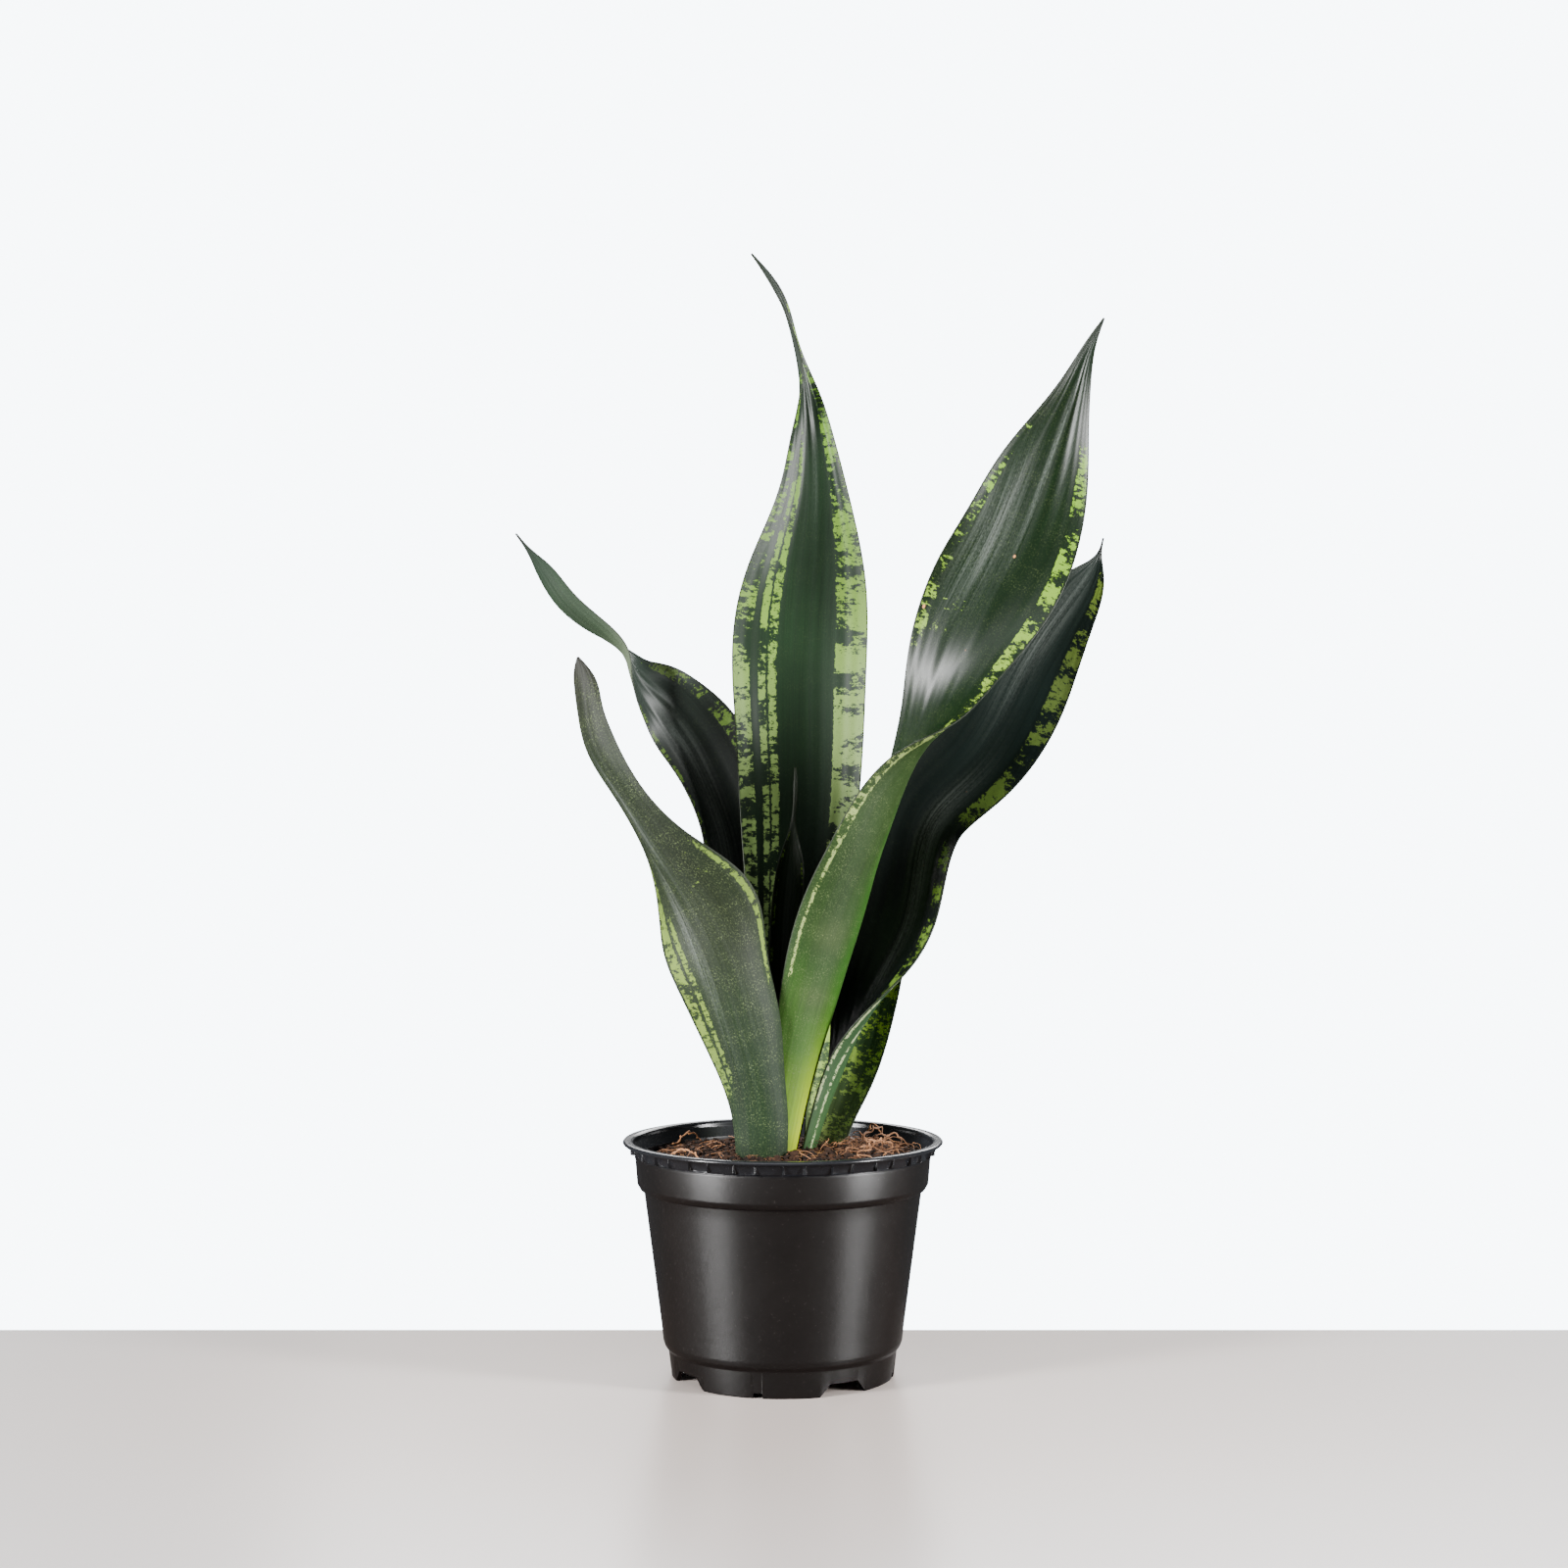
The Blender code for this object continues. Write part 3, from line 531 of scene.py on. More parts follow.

# Each leaf has stations (x, y, z, half width, turn, left cup, right cup), bands (from, to, start, end,
# mottle), sRGB colours of the ground and the light bands (share of length, colour), patches on the ground
# and bloom_and_sheen, silver bloom with painted sheen (across, along, wide, long, value, strength),
# ridges (height, place, width, start, end) and waves (size, period, side, phase). What begins with
# outer_ is for the outer face.
LEAVES = {
    "leaf_front_left": dict(
        stations=((-10, -17, 96, 12.5, 180, 40, 36), (-11, -21, 129, 15, 180, 48, 38),
                  (-20, -27, 168, 21.5, 180, 54, 38), (-29, -31, 198, 26, 178, 50, 34),
                  (-41, -33, 224, 28, 152, 45, 38), (-58, -36, 250, 19.5, 128, 35, 35),
                  (-76, -36, 277, 15, 120, 35, 35), (-89, -34, 299, 15.5, 120, 38, 38),
                  (-93, -32, 319, 11.5, 126, 40, 40), (-94, -31, 330, 7, 140, 40, 40),
                  (-95, -30, 339, 0.5, 150, 20, 20)),
        bands=((0.72, 0.93, 0.16, 0.62, 0.45), (0.55, 0.65, 0.18, 0.5, 0.45),
               (-0.94, -0.84, 0.34, 0.6, 0.4), (0.62, 0.95, 0.66, 0.92, 0.5), (-0.6, 0, 0.53, 0.6, 0.9)),
        ground=((0, (17, 46, 13)), (0.2, (18, 46, 12)), (0.42, (26, 44, 9)), (0.6, (20, 35, 10)),
                (0.8, (28, 42, 20)), (1, (30, 30, 20))),
        light=((0, (120, 150, 80)), (0.3, (140, 170, 64)), (0.6, (110, 138, 50)), (1, (110, 136, 56))),
        patches=((-0.3, 0.45, 0.4, 0.1, (30, 42, 14), 0.7),),
        bloom_and_sheen=((0.35, 0.44, 0.08, 0.14, 1, 0.8), (0.1, 0.7, 0.16, 0.1, 1, 0.8),
               (0.1, 0.4, 0.6, 0.3, 1, 0.1)),
        ridges=((0.5, 0.25, 0.1, 0.15, 1), (-0.3, -0.1, 0.12, 0.4, 1)),
        waves=((0.8, 60, -1, 0.5),),
        speckle=1, roughness=0.42,
    ),
    "leaf_centre_tall": dict(
        stations=((-2, 13, 91, 7.5, 0, 35, 35), (0, 18, 147, 14, 0, 32, 32), (4, 22, 209, 23, 0, 30, 30),
                  (8, 24, 270, 29.5, 0, 26, 26), (8, 25, 337, 33.5, 0, 25, 25),
                  (11, 25, 385, 29.5, 5, 28, 28), (14, 23, 427, 17, 10, 40, 40),
                  (11, 18, 465, 8.5, 35, 60, 60), (5, 12, 494, 3.5, 75, 60, 60),
                  (-2, 8, 515, 2.5, 40, 40, 40), (-15, 3, 533, 0.5, 30, 20, 20)),
        bands=((-1.1, -0.74, 0.1, 0.62, 0.52), (-1.1, -0.72, 0.56, 0.86, 0.66),
               (-0.61, -0.5, 0.15, 0.76, 0.5), (-0.46, -0.34, 0.15, 0.8, 0.5),
               (0.52, 1.1, 0.1, 0.7, 0.48), (0.5, 1.1, 0.64, 0.95, 0.6)),
        # Near the base, the near-black ground and the darker light bands are painted shade deep in the
        # rosette.
        ground=((0, (3, 9, 3)), (0.27, (4, 18, 5)), (0.38, (10, 36, 12)), (0.55, (22, 48, 23)),
                (0.8, (15, 38, 17)), (1, (20, 40, 22))),
        light=((0, (30, 40, 16)), (0.22, (60, 80, 40)), (0.33, (120, 146, 84)), (0.45, (136, 166, 88)),
               (0.62, (118, 158, 50)), (0.85, (94, 140, 30)), (1, LIME)),
        bloom_and_sheen=((0.1, 0.83, 0.05, 0.1, 1, 0.6),),
        ridges=((0.8, 0.05, 0.12, 0.72, 1), (0.25, -0.15, 0.12, 0.2, 0.75)),
        waves=((1.2, 90, -1, 2),),
        speckle=0.3, roughness=0.44,
    ),
    "leaf_right_twisted": dict(
        stations=((1, -3, 94, 8, -125, 50, 50), (8, -5, 131, 16, -128, 55, 55),
                  (17, -8, 169, 22.5, -130, 60, 55), (30, -12, 211, 28, -128, 62, 58),
                  (44, -14, 249, 29, -113, 60, 55), (60, -12, 286, 27, -92, 45, 45),
                  (71, -8, 309, 23.5, -59, 22, 22), (85, -7, 343, 27, -26, 16, 16),
                  (107, -6, 387, 30, 0, 20, 20), (124, -8, 430, 22, 0, 28, 28),
                  (138, -11, 469, 8, 0, 40, 40), (144, -13, 486, 3.5, 20, 45, 45),
                  (151, -15, 499, 0.5, 30, 30, 30)),
        bands=((0.72, 0.97, 0.4, 0.86, 0.62), (-0.97, -0.78, 0.6, 0.88, 0.8),
               (-0.7, -0.3, 0.62, 0.72, 1.05)),
        ground=((0, (10, 36, 6)), (0.6, (8, 33, 8)), (0.9, (7, 31, 6)), (1, (24, 40, 26))),
        light=((0, PALE), (0.5, (150, 182, 70)), (0.8, (120, 170, 30)), (1, LIME)),
        outer_bands=((0.84, 0.89, 0.22, 0.5, 0.5), (0.88, 0.99, 0.36, 0.56, 0.72)),
        outer_ground=((0, (176, 196, 16)), (0.06, (120, 160, 20)), (0.14, (66, 110, 30)),
                      (0.25, (33, 66, 15)), (0.42, (42, 70, 20)), (0.6, (34, 60, 20)), (1, (40, 60, 40))),
        outer_light=((0, (166, 184, 110)), (1, (150, 176, 90))),
        # The first outer patch, a brighter saturated green on the right of the lower part, is painted light
        # where the right lamp catches the curved keel, over the leaf's own green.
        outer_patches=((-0.35, 0.25, 0.3, 0.25, (44, 104, 10), 0.8),
                       (-0.2, 0.02, 0.35, 0.09, (190, 214, 0), 1),
                       (0.3, 0.27, 0.35, 0.02, (90, 106, 60), 0.4),
                       (0.3, 0.2, 0.35, 0.015, (90, 106, 60), 0.4)),
        bloom_and_sheen=((-0.45, 0.74, 0.32, 0.09, 1, 0.6), (0.05, 0.87, 0.05, 0.12, 1, 1),
               (0.45, 0.9, 0.08, 0.07, 1, 0.9)),
        ridges=((0.7, 0.05, 0.1, 0.6, 1), (-0.5, 0.3, 0.12, 0.7, 1), (0.5, -0.5, 0.2, 0.5, 0.95)),
        waves=((0.8, 70, -1, 1),),
        speckle=1, roughness=0.36,
    ),
    "leaf_right_dark": dict(
        stations=((11, 6, 93, 9, -100, 45, 45), (18, 7, 118, 12, -98, 48, 48),
                  (27, 9, 141, 16, -94, 50, 52), (37, 12, 166, 20, -68, 50, 55),
                  (45, 15, 187, 23, -45, 45, 50), (57, 18, 216, 26, -28, 42, 45),
                  (61, 20, 241, 25.5, -18, 42, 50), (69, 21, 266, 25.5, -10, 36, 58),
                  (91, 22, 289, 26, -8, 28, 40), (119, 21, 337, 24, 0, 26, 26),
                  (138, 20, 366, 16, 0, 28, 28), (149, 20, 382, 7.5, 0, 35, 35),
                  (153, 20, 391, 1.5, 0, 30, 30), (155, 20, 399, 0.5, 0, 20, 20)),
        bands=((0.66, 0.94, 0.2, 0.5, 0.66), (0.6, 0.97, 0.56, 0.95, 0.62)),
        ground=((0, BLACK), (0.5, BLACK), (0.75, (26, 40, 36)), (1, (36, 48, 42))),
        light=((0, (90, 118, 46)), (0.5, (104, 136, 50)), (0.8, (112, 136, 66)), (1, LIME)),
        outer_bands=((0.55, 0.64, 0.02, 0.22, 0.4), (0.88, 0.97, 0.1, 0.8, 0.5)),
        outer_ground=((0, (60, 96, 50)), (0.3, (52, 84, 52)), (1, (60, 80, 60))),
        outer_light=((0, PALE), (1, CREAM)),
        bloom_and_sheen=((0.2, 0.3, 0.16, 0.14, 1, 0.5), (0.25, 0.52, 0.2, 0.1, 1, 0.6),
               (-0.1, 0.85, 0.3, 0.12, 1, 0.6)),
        ridges=((0.6, 0.3, 0.15, 0.15, 0.7), (-0.4, 0, 0.15, 0.2, 0.9)),
        waves=((0.8, 80, 1, 0),),
        speckle=0.2, roughness=0.3,
    ),
    "leaf_right_short": dict(
        stations=((20, 20, 92, 8.5, -20, 35, 40), (23, 23, 114, 13, -20, 40, 45),
                  (30, 28, 137, 17, -15, 40, 45), (39, 34, 170, 18, -10, 40, 40),
                  (45, 40, 203, 17, -5, 40, 40), (48, 45, 236, 10, 0, 40, 40),
                  (50, 48, 256, 3, 0, 30, 30), (51, 50, 265, 0.5, 0, 20, 20)),
        bands=((-0.9, 0.95, 0.05, 0.97, 0.58),),
        # The ground and light colours are painted lighter than the leaf's own: painted light where
        # leaf_right_dark shades this leaf.
        ground=((0, (116, 134, 84)), (0.35, (66, 98, 58)), (1, (56, 92, 56))),
        light=((0, (170, 190, 120)), (0.4, (176, 222, 80)), (1, (190, 226, 90))),
        ridges=((0.3, 0, 0.2, 0.1, 1),),
        speckle=0.6, roughness=0.42,
    ),
    "leaf_left_back": dict(
        stations=((-4, 22, 92, 10, 5, 30, 30), (-8, 27, 137, 16, 5, 35, 32),
                  (-14, 33, 184, 21, 8, 45, 33), (-18, 37, 227, 23.5, 10, 55, 33),
                  (-23, 39, 258, 24.5, 10, 70, 33), (-33, 38, 284, 23.5, 12, 65, 33),
                  (-43, 37, 303, 22.5, 15, 42, 33), (-58, 34, 321, 17.5, 15, 33, 33),
                  (-72, 31, 334, 13, 62, 35, 35), (-78, 29, 344, 10, 92, 35, 35),
                  (-91, 27, 355, 8.5, 120, 35, 35), (-107, 24, 369, 7.5, 138, 35, 35),
                  (-117, 22, 384, 5, 145, 35, 35), (-123, 20, 393, 1.5, 150, 35, 35),
                  (-129, 18, 401, 0.5, 150, 20, 20)),
        bands=((0.62, 0.95, 0.3, 0.76, 0.7), (-0.97, -0.86, 0.3, 0.78, 0.6)),
        ground=((0, BLACK), (0.4, BLACK), (0.6, (20, 25, 22)), (0.8, (50, 64, 54)), (1, (50, 60, 54))),
        light=((0, LIME), (0.5, (74, 104, 34)), (0.75, (96, 122, 50)), (1, LIME)),
        outer_bands=((0.85, 0.97, 0.8, 0.95, 0.5),),
        outer_ground=((0, SAGE), (0.74, (110, 124, 98)), (0.82, (60, 80, 56)), (0.95, (34, 56, 38)),
                      (1, (30, 38, 32))),
        outer_light=((0, CREAM), (1, LIME)),
        bloom_and_sheen=((-0.35, 0.56, 0.26, 0.16, 1, 0.35), (0, 0.7, 0.2, 0.04, 1, 0.2)),
        ridges=((0.7, 0, 0.1, 0.5, 0.95), (-0.5, -0.5, 0.12, 0.4, 0.8), (0.4, 0.45, 0.12, 0.4, 0.8)),
        speckle=0.3, roughness=0.46,
    ),
    "leaf_young_centre": dict(
        stations=((-6, 2, 93, 4.5, 0, 80, 80), (-3, 3, 140, 7, 0, 75, 75), (0, 4, 186, 9, 0, 72, 72),
                  (2, 5, 221, 9.5, 0, 70, 70), (4, 6, 244, 7, 0, 65, 65), (5, 7, 261, 1.5, 0, 50, 50),
                  (6, 7, 274, 1, 0, 40, 40), (6, 7, 288, 0.5, 0, 20, 20)),
        bands=((-0.95, -0.7, 0.5, 0.85, 0.8), (0.75, 0.95, 0.5, 0.85, 0.8)),
        ground=((0, (8, 22, 5)), (0.5, (6, 18, 5)), (1, (26, 42, 20))),
        light=((0, (70, 96, 30)), (1, (90, 120, 40))),
        speckle=0.1, roughness=0.4,
    ),
}

MARGIN_PAINT = (0.75, 0.25)  # distance from the edge where the margin's colour is gone, and full
MARGIN_STRENGTH = 0.85
INNER_SPECKLE = 0.35  # dust on the inner face, as a share of that on the outer face
SPECKLE_FADE = (3.0, 12.0)  # half widths between which the dust appears


def make_leaf(name, plan, finish, seed):
    leaf = leaf_solid(plan["stations"], plan.get("ridges", ()), plan.get("waves", ()), seed)
    inner = leaf.outside < 0.5

    def both(field, patches=(), outer_patches=()):
        """The inner face's paint, and the outer face's where the plan gives its own."""
        inside = painted(leaf.u, leaf.v, plan[field], patches)
        if "outer_" + field not in plan:
            return inside
        outside = painted(leaf.u, leaf.v, plan["outer_" + field], outer_patches)
        return np.where(inner[:, None], inside, outside)

    pale, mottle = band_fields(leaf, plan["bands"])
    if "outer_bands" in plan:
        outer_pale, outer_mottle = band_fields(leaf, plan["outer_bands"])
        pale = np.where(inner, pale, outer_pale)
        mottle = np.where(inner, mottle, outer_mottle)
    # Silver bloom with painted sheen: grey patches, some of them where the leaves shine. Where the outer
    # face has its own paint, only the inner face has them.
    bloom_and_sheen = painted(leaf.u, leaf.v, ((0.0, 0.0), (1.0, 0.0)), plan.get("bloom_and_sheen", ()))[:, 0]
    if "outer_ground" in plan:
        bloom_and_sheen = bloom_and_sheen * inner
    margin = MARGIN_STRENGTH * smooth(*MARGIN_PAINT, (1.0 - np.abs(leaf.u)) * leaf.half)
    speckle = np.where(inner, INNER_SPECKLE, 1.0) * smooth(*SPECKLE_FADE, leaf.half)
    ground = both("ground", plan.get("patches", ()), plan.get("outer_patches", ()))
    attributes = {"pale": pale, "mottle": mottle, "bloom_and_sheen": bloom_and_sheen, "margin": margin, "speckle": speckle,
                  "matt": leaf.outside, "ground": ground, "light": both("light")}
    material = leaf_material(name.replace("leaf", "skin"), finish, plan["speckle"], plan["roughness"])
    piece = make_piece(name + "_blade", leaf.vertices, leaf.quads, leaf.triangles, material,
                       attributes, leaf.uv)
    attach(piece, "root")
    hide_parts(name)


# ---------------- pot

POT_ANGLES = 240
POT_FIRST_ANGLE = 0.37  # degrees, so that the even angles miss the added ones
POT_OUTSIDE = (
    (52.8, 0.0), (54.3, 12.5), (56.0, 14.5), (56.8, 17.0), (57.6, 24.0), (66.0, 88.0),
    (67.7, 88.4), (69.2, 91.0), (70.2, 103.4), (69.7, 104.0), (70.6, 104.6), (72.5, 109.0),
    (75.2, 109.2), (76.2, 110.2), (75.4, 111.3), (72.3, 111.3), (71.2, 110.3), (71.1, 108.6), (68.6, 103.6),
    (67.9, 91.2), (66.7, 89.5), (64.7, 87.6), (56.3, 24.0), (55.5, 17.6), (54.6, 15.2), (53.0, 13.2),
    (52.3, 7.6), (17.0, 7.6), (13.0, 1.6),
)
POT_UNDERSIDE = ((13.0, 0.0), (17.0, 6.0), (51.0, 6.0), (51.0, 0.0))
PAD_TOP = 1.6  # the foot pad's thickness at the axis
CORNER_RADIUS = 0.5
LONGEST_STEP = 6.0  # between two points of the outline
SHARP_ANGLE = 38.0  # degrees, above which an edge is shown sharp
DRAIN_COUNT = 8
DRAIN_RADIUS = 4.0
DRAIN_CIRCLE = 42.0
DRAIN_CUT = (3.0, 10.0)  # heights between which the holes are cut
DRAIN_SIDES = 24
BAND_LOW, BAND_HIGH = 104.6, 109.0
BAND_EDGE = 0.25
BAND_TOP_RADIUS = 72.5
BAND_WINDOWS = 20
WINDOW_WIDTH = 8.0  # degrees, like the four below it
WINDOW_SIDE = (0.12, 0.35)
RIB_WIDTH = 0.45
RIB_ANGLES = (-0.8, -0.45, -0.2, 0.0, 0.2, 0.45, 0.8)  # added round the middle of each rib
WINDOW_DEPTH = 0.45
RIB_HEIGHT = 0.35
RIB_UPRIGHT = 0.9  # share of the band's slope that a rib fills, so that it stands upright
NOTCHES = ((32.5, 27.4, 16.5, 5.8, 90.0), (-12.5, 5.0, 4.4, 2.5, 90.0))  # first, bottom, top, height, every
STEEPEST_NOTCH = 0.1  # least width of a notch's sloping side, in degrees
FOOT_INSIDE = 50.5  # the foot ring's points lie outside this radius and under this height
FOOT_HEIGHT = 8.0
GLOSS_HEIGHTS = (0.1037, 0.1041)  # metres: matt below, glossy above
POT_NOISES = {"stipple": (1500.0, 2.0, 0.6), "coarse": (420.0, 3.0, 0.6),
              "cloud": (34.0, 4.0, 0.6), "specks": (900.0, 1.0, 0.5)}      # scale, detail, roughness
SPECK_FADE = (0.70, 0.76)
SPECK_STRENGTH = 0.12
WALL_ROUGHNESS = 0.36
GLOSS_SMOOTHER = -0.18
CLOUD_ROUGHER = 0.08
COARSE_SHARE = 0.8
POT_SPECULAR = 0.36
POT_BUMP = (0.22, 0.00012)  # strength, distance


def rounded_outline(points, radius, steps=4):
    """The outline with each corner swapped for a curve that starts and ends a radius away from it."""
    points = np.array(points, float)
    out = [points[0]]
    for before, corner, after in zip(points[:-2], points[1:-1], points[2:]):
        back, ahead = before - corner, after - corner
        reach = min(radius, 0.45 * np.hypot(*back), 0.45 * np.hypot(*ahead))
        start = corner + back / np.hypot(*back) * reach
        end = corner + ahead / np.hypot(*ahead) * reach
        for share in np.linspace(0.0, 1.0, steps):
            out.append((1 - share) ** 2 * start + 2 * share * (1 - share) * corner + share ** 2 * end)
    out.append(points[-1])
    return np.array(out)


def pot_angle_list():
    """Even angles, with more at the ribs of the band and at the corners of the notches."""
    angles = list(np.arange(POT_ANGLES) * 360.0 / POT_ANGLES + POT_FIRST_ANGLE)
    for index in range(BAND_WINDOWS):
        start = 360.0 / BAND_WINDOWS * index
        angles += [rib + off for rib in (start, start + WINDOW_WIDTH) for off in RIB_ANGLES]
    for first, bottom, top, _, every in NOTCHES:
        for middle in np.arange(first, first + 360.0, every):
            angles += [(middle + side * width) % 360.0 for width in (bottom, top) for side in (-0.5, 0.5)]
    return np.unique(np.round(angles, 3))


def notch_height(angles):
    """How high the foot's lower edge is lifted at each angle: trapezoids."""
    height = np.zeros(len(angles))
    for first, bottom, top, tall, every in NOTCHES:
        off = np.abs((angles - first + every / 2.0) % every - every / 2.0)
        slope = (bottom / 2.0 - off) / max((bottom - top) / 2.0, STEEPEST_NOTCH)
        height = np.maximum(height, tall * np.clip(slope, 0.0, 1.0))
    return height


def cut_drain_holes(pot):
    """Cuts a ring of round holes through the pot's floor."""
    angle = 2.0 * np.pi * (np.arange(DRAIN_COUNT) + 0.5) / DRAIN_COUNT
    x, y = DRAIN_CIRCLE * np.sin(angle), -DRAIN_CIRCLE * np.cos(angle)
    ends = [np.stack([x, y, np.full(DRAIN_COUNT, height)], -1) for height in DRAIN_CUT]
    radii = np.full((DRAIN_COUNT, len(DRAIN_CUT)), DRAIN_RADIUS)
    cutter = make_piece("drain_cutter", *tubes(np.stack(ends, axis=1), radii, DRAIN_SIDES))
    step = pot.modifiers.new("drain", "BOOLEAN")
    step.operation = "DIFFERENCE"
    step.solver = "EXACT"
    step.object = cutter
    graph = bpy.context.evaluated_depsgraph_get()
    cut = bpy.data.meshes.new_from_object(pot.evaluated_get(graph))
    pot.modifiers.clear()
    pot.data = cut
    bpy.data.objects.remove(cutter)


def pot_outline():
    """The pot's outline from under the foot pad, up the outside and back down to the top of the pad."""
    corners = ((0.0, 0.0),) + POT_UNDERSIDE + POT_OUTSIDE + ((0.0, PAD_TOP),)
    outline = rounded_outline(corners, CORNER_RADIUS)[1:-1]
    points = []
    for first, second in zip(outline[:-1], outline[1:]):
        pieces = max(1, int(np.hypot(*(second - first)) / LONGEST_STEP))
        points += [first + (second - first) * k / pieces for k in range(pieces)]
    return np.array(points + [outline[-1]])


def band_relief(degrees, outline):
    """How far the glossy band stands out at each point: ribs, with sunk windows between pairs of them."""
    heights = outline[:, 1]
    in_band = smooth(BAND_LOW, BAND_LOW + BAND_EDGE, heights)
    in_band = in_band * smooth(BAND_HIGH, BAND_HIGH - BAND_EDGE, heights)
    outer = np.arange(len(outline)) < np.argmax(heights)
    place = degrees % (360.0 / BAND_WINDOWS)
    far_side = WINDOW_WIDTH - np.array(WINDOW_SIDE)
    window = smooth(*WINDOW_SIDE, place) * smooth(*far_side, place)
    rib = np.exp(-(place / RIB_WIDTH) ** 2) + np.exp(-((place - WINDOW_WIDTH) / RIB_WIDTH) ** 2)
    upright = RIB_HEIGHT + RIB_UPRIGHT * (BAND_TOP_RADIUS - outline[:, :1])
    return (upright * rib - WINDOW_DEPTH * window) * (in_band * outer)[:, None]


def make_pot(material):
    """The pot is turned: the outline goes round the axis, with the foot lifted at the notches and the
    glossy band in relief."""
    degrees = pot_angle_list()
    angles = np.radians(degrees)
    outline = pot_outline()
    radius = outline[:, :1] + band_relief(degrees, outline)
    height = np.repeat(outline[:, 1:], len(angles), axis=1)
    first_third = np.arange(len(outline)) < len(outline) // 3
    foot = (outline[:, 0] > FOOT_INSIDE) & (outline[:, 1] < FOOT_HEIGHT) & first_third
    height = np.where(foot[:, None], np.maximum(height, notch_height(degrees)), height)
    solid = closed_grid(turned(radius, height, angles), (0, 0, 0), (0, 0, PAD_TOP))
    piece = make_piece("pot_shell", *solid, material)
    cut_drain_holes(piece)
    piece.data.set_sharp_from_angle(angle=np.radians(SHARP_ANGLE))
    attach(piece, "root")
    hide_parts("pot")


def pot_material():
    """Black polypropylene: a fine stipple on the wall and the collar, gloss above them and inside."""
    material, n, shader = new_material("black polypropylene")
    place = n.add("TexCoord").outputs["Object"]
    stipple, coarse, cloud, specks = (
        n.noise(place, *POT_NOISES[name]) for name in ("stipple", "coarse", "cloud", "specks"))
    gloss = n.step(n.add("SeparateXYZ", Vector=place).outputs["Z"], *GLOSS_HEIGHTS)
    base = n.mix(cloud, shade(7, 5, 5), shade(12, 9, 8))
    # The glossy part's lighter grey is painted sheen for the light it reflects.
    base = n.mix(gloss, base, shade(24, 25, 28))
    base = n.mix(n.math("MULTIPLY", n.step(specks, *SPECK_FADE), SPECK_STRENGTH), base, shade(96, 92, 90))
    n.set(shader, "Base Color", base)
    n.set(shader, "Roughness", n.weighted(WALL_ROUGHNESS, (cloud, CLOUD_ROUGHER), (gloss, GLOSS_SMOOTHER)))
    n.set(shader, "Specular IOR Level", POT_SPECULAR)
    matt = n.math("SUBTRACT", 1.0, gloss)
    relief = n.math("MULTIPLY", n.math("MULTIPLY_ADD", coarse, COARSE_SHARE, stipple), matt)
    n.bump(shader, relief, *POT_BUMP)
    return material


# ---------------- soil

SOIL_RADIUS = 68.3
SOIL_EDGE_HEIGHT = 101.0
SOIL_DOME = 4.6
MOUND_HEIGHT = 2.2
MOUND_PLACE, MOUND_REACH = (44.0, 18.0), (20.0, 26.0)
LUMP_HEIGHT = 1.1
LUMP_NOISE = {"size": 13.0, "seed": 3}
GRAIN_HEIGHT = 0.9
GRAIN_NOISE = {"size": 3.2, "seed": 5, "octaves": 3}
SOIL_RINGS = 100
SOIL_COLUMNS = 220
SOIL_MIDDLE = 0.4  # radius of the smallest ring
SOIL_BOTTOM = 8.0
SOIL_SIDE = ((67.2, 91.0), (64.2, 87.0), (55.9, 24.0), (52.0, SOIL_BOTTOM), (20.0, SOIL_BOTTOM),
             (SOIL_MIDDLE, SOIL_BOTTOM))     # inside the pot's wall, from the top down
SOIL_NOISES = {"grain": (700.0, 5.0, 0.65), "cloud": (130.0, 3.0, 0.6)}  # scale, detail, roughness
GRAIN_PART, CLOUD_PART = 0.6, 0.4
BRIGHT_FADE = (0.38, 0.68)
SOIL_ROUGHNESS = 0.92
SOIL_SPECULAR = 0.25
SOIL_BUMP = (0.6, 0.0006)  # strength, distance
SOIL_SEED = 11

CRUMBS = 3200
CRUMB_RINGS, CRUMB_SIDES = 4, 7
CRUMB_SIZE = (0.4, 1.3)  # least, and how much larger a few are
CRUMB_LUMPS = 0.45
CRUMB_STRETCH = (0.6, 0.9)
CRUMB_LEAN = 0.8
CRUMB_LIFT = 0.25  # share of its size that a crumb's middle is above the surface

FIBRES = 360
FIBRE_STEPS, FIBRE_SIDES = 16, 6
FIBRE_PILES = (  # from and to as a share of the fibres, middle and spread in x and y
    (0.00, 0.50, (42.0, 11.0), (14.0, 18.0)),
    (0.50, 0.68, (-44.0, 9.0), (10.0, 18.0)))
FIBRE_LENGTH = (7.0, 17.0)  # least, and how much more the others have
FIBRE_LIFT = (0.3, 5.5)
FIBRE_LIFT_ELSEWHERE = 0.6  # share of the lift for fibres outside the first pile
FIBRE_RADIUS = (0.11, 0.20)
FIBRE_TIP = 0.45  # share of the radius at the end
FIBRE_TURN = 5.0  # radians between the strongest turns to the left and to the right
FIBRE_WAVES = (4.0, 7.0)  # radians of waving: least, and how much more the others have
FIBRE_WAVE_SIZE = 1.1
FIBRE_PHASES = 6.0
FIBRE_HUMPS = (0.7, 0.5)  # share of half a sine that the height follows
CRUMB_GAP, FIBRE_GAP, PILE_GAP, END_GAP = 2.0, 6.0, 5.0, 1.5  # least distances from the soil's edge
FIBRE_REST = 0.4  # height of a fibre's middle above the soil

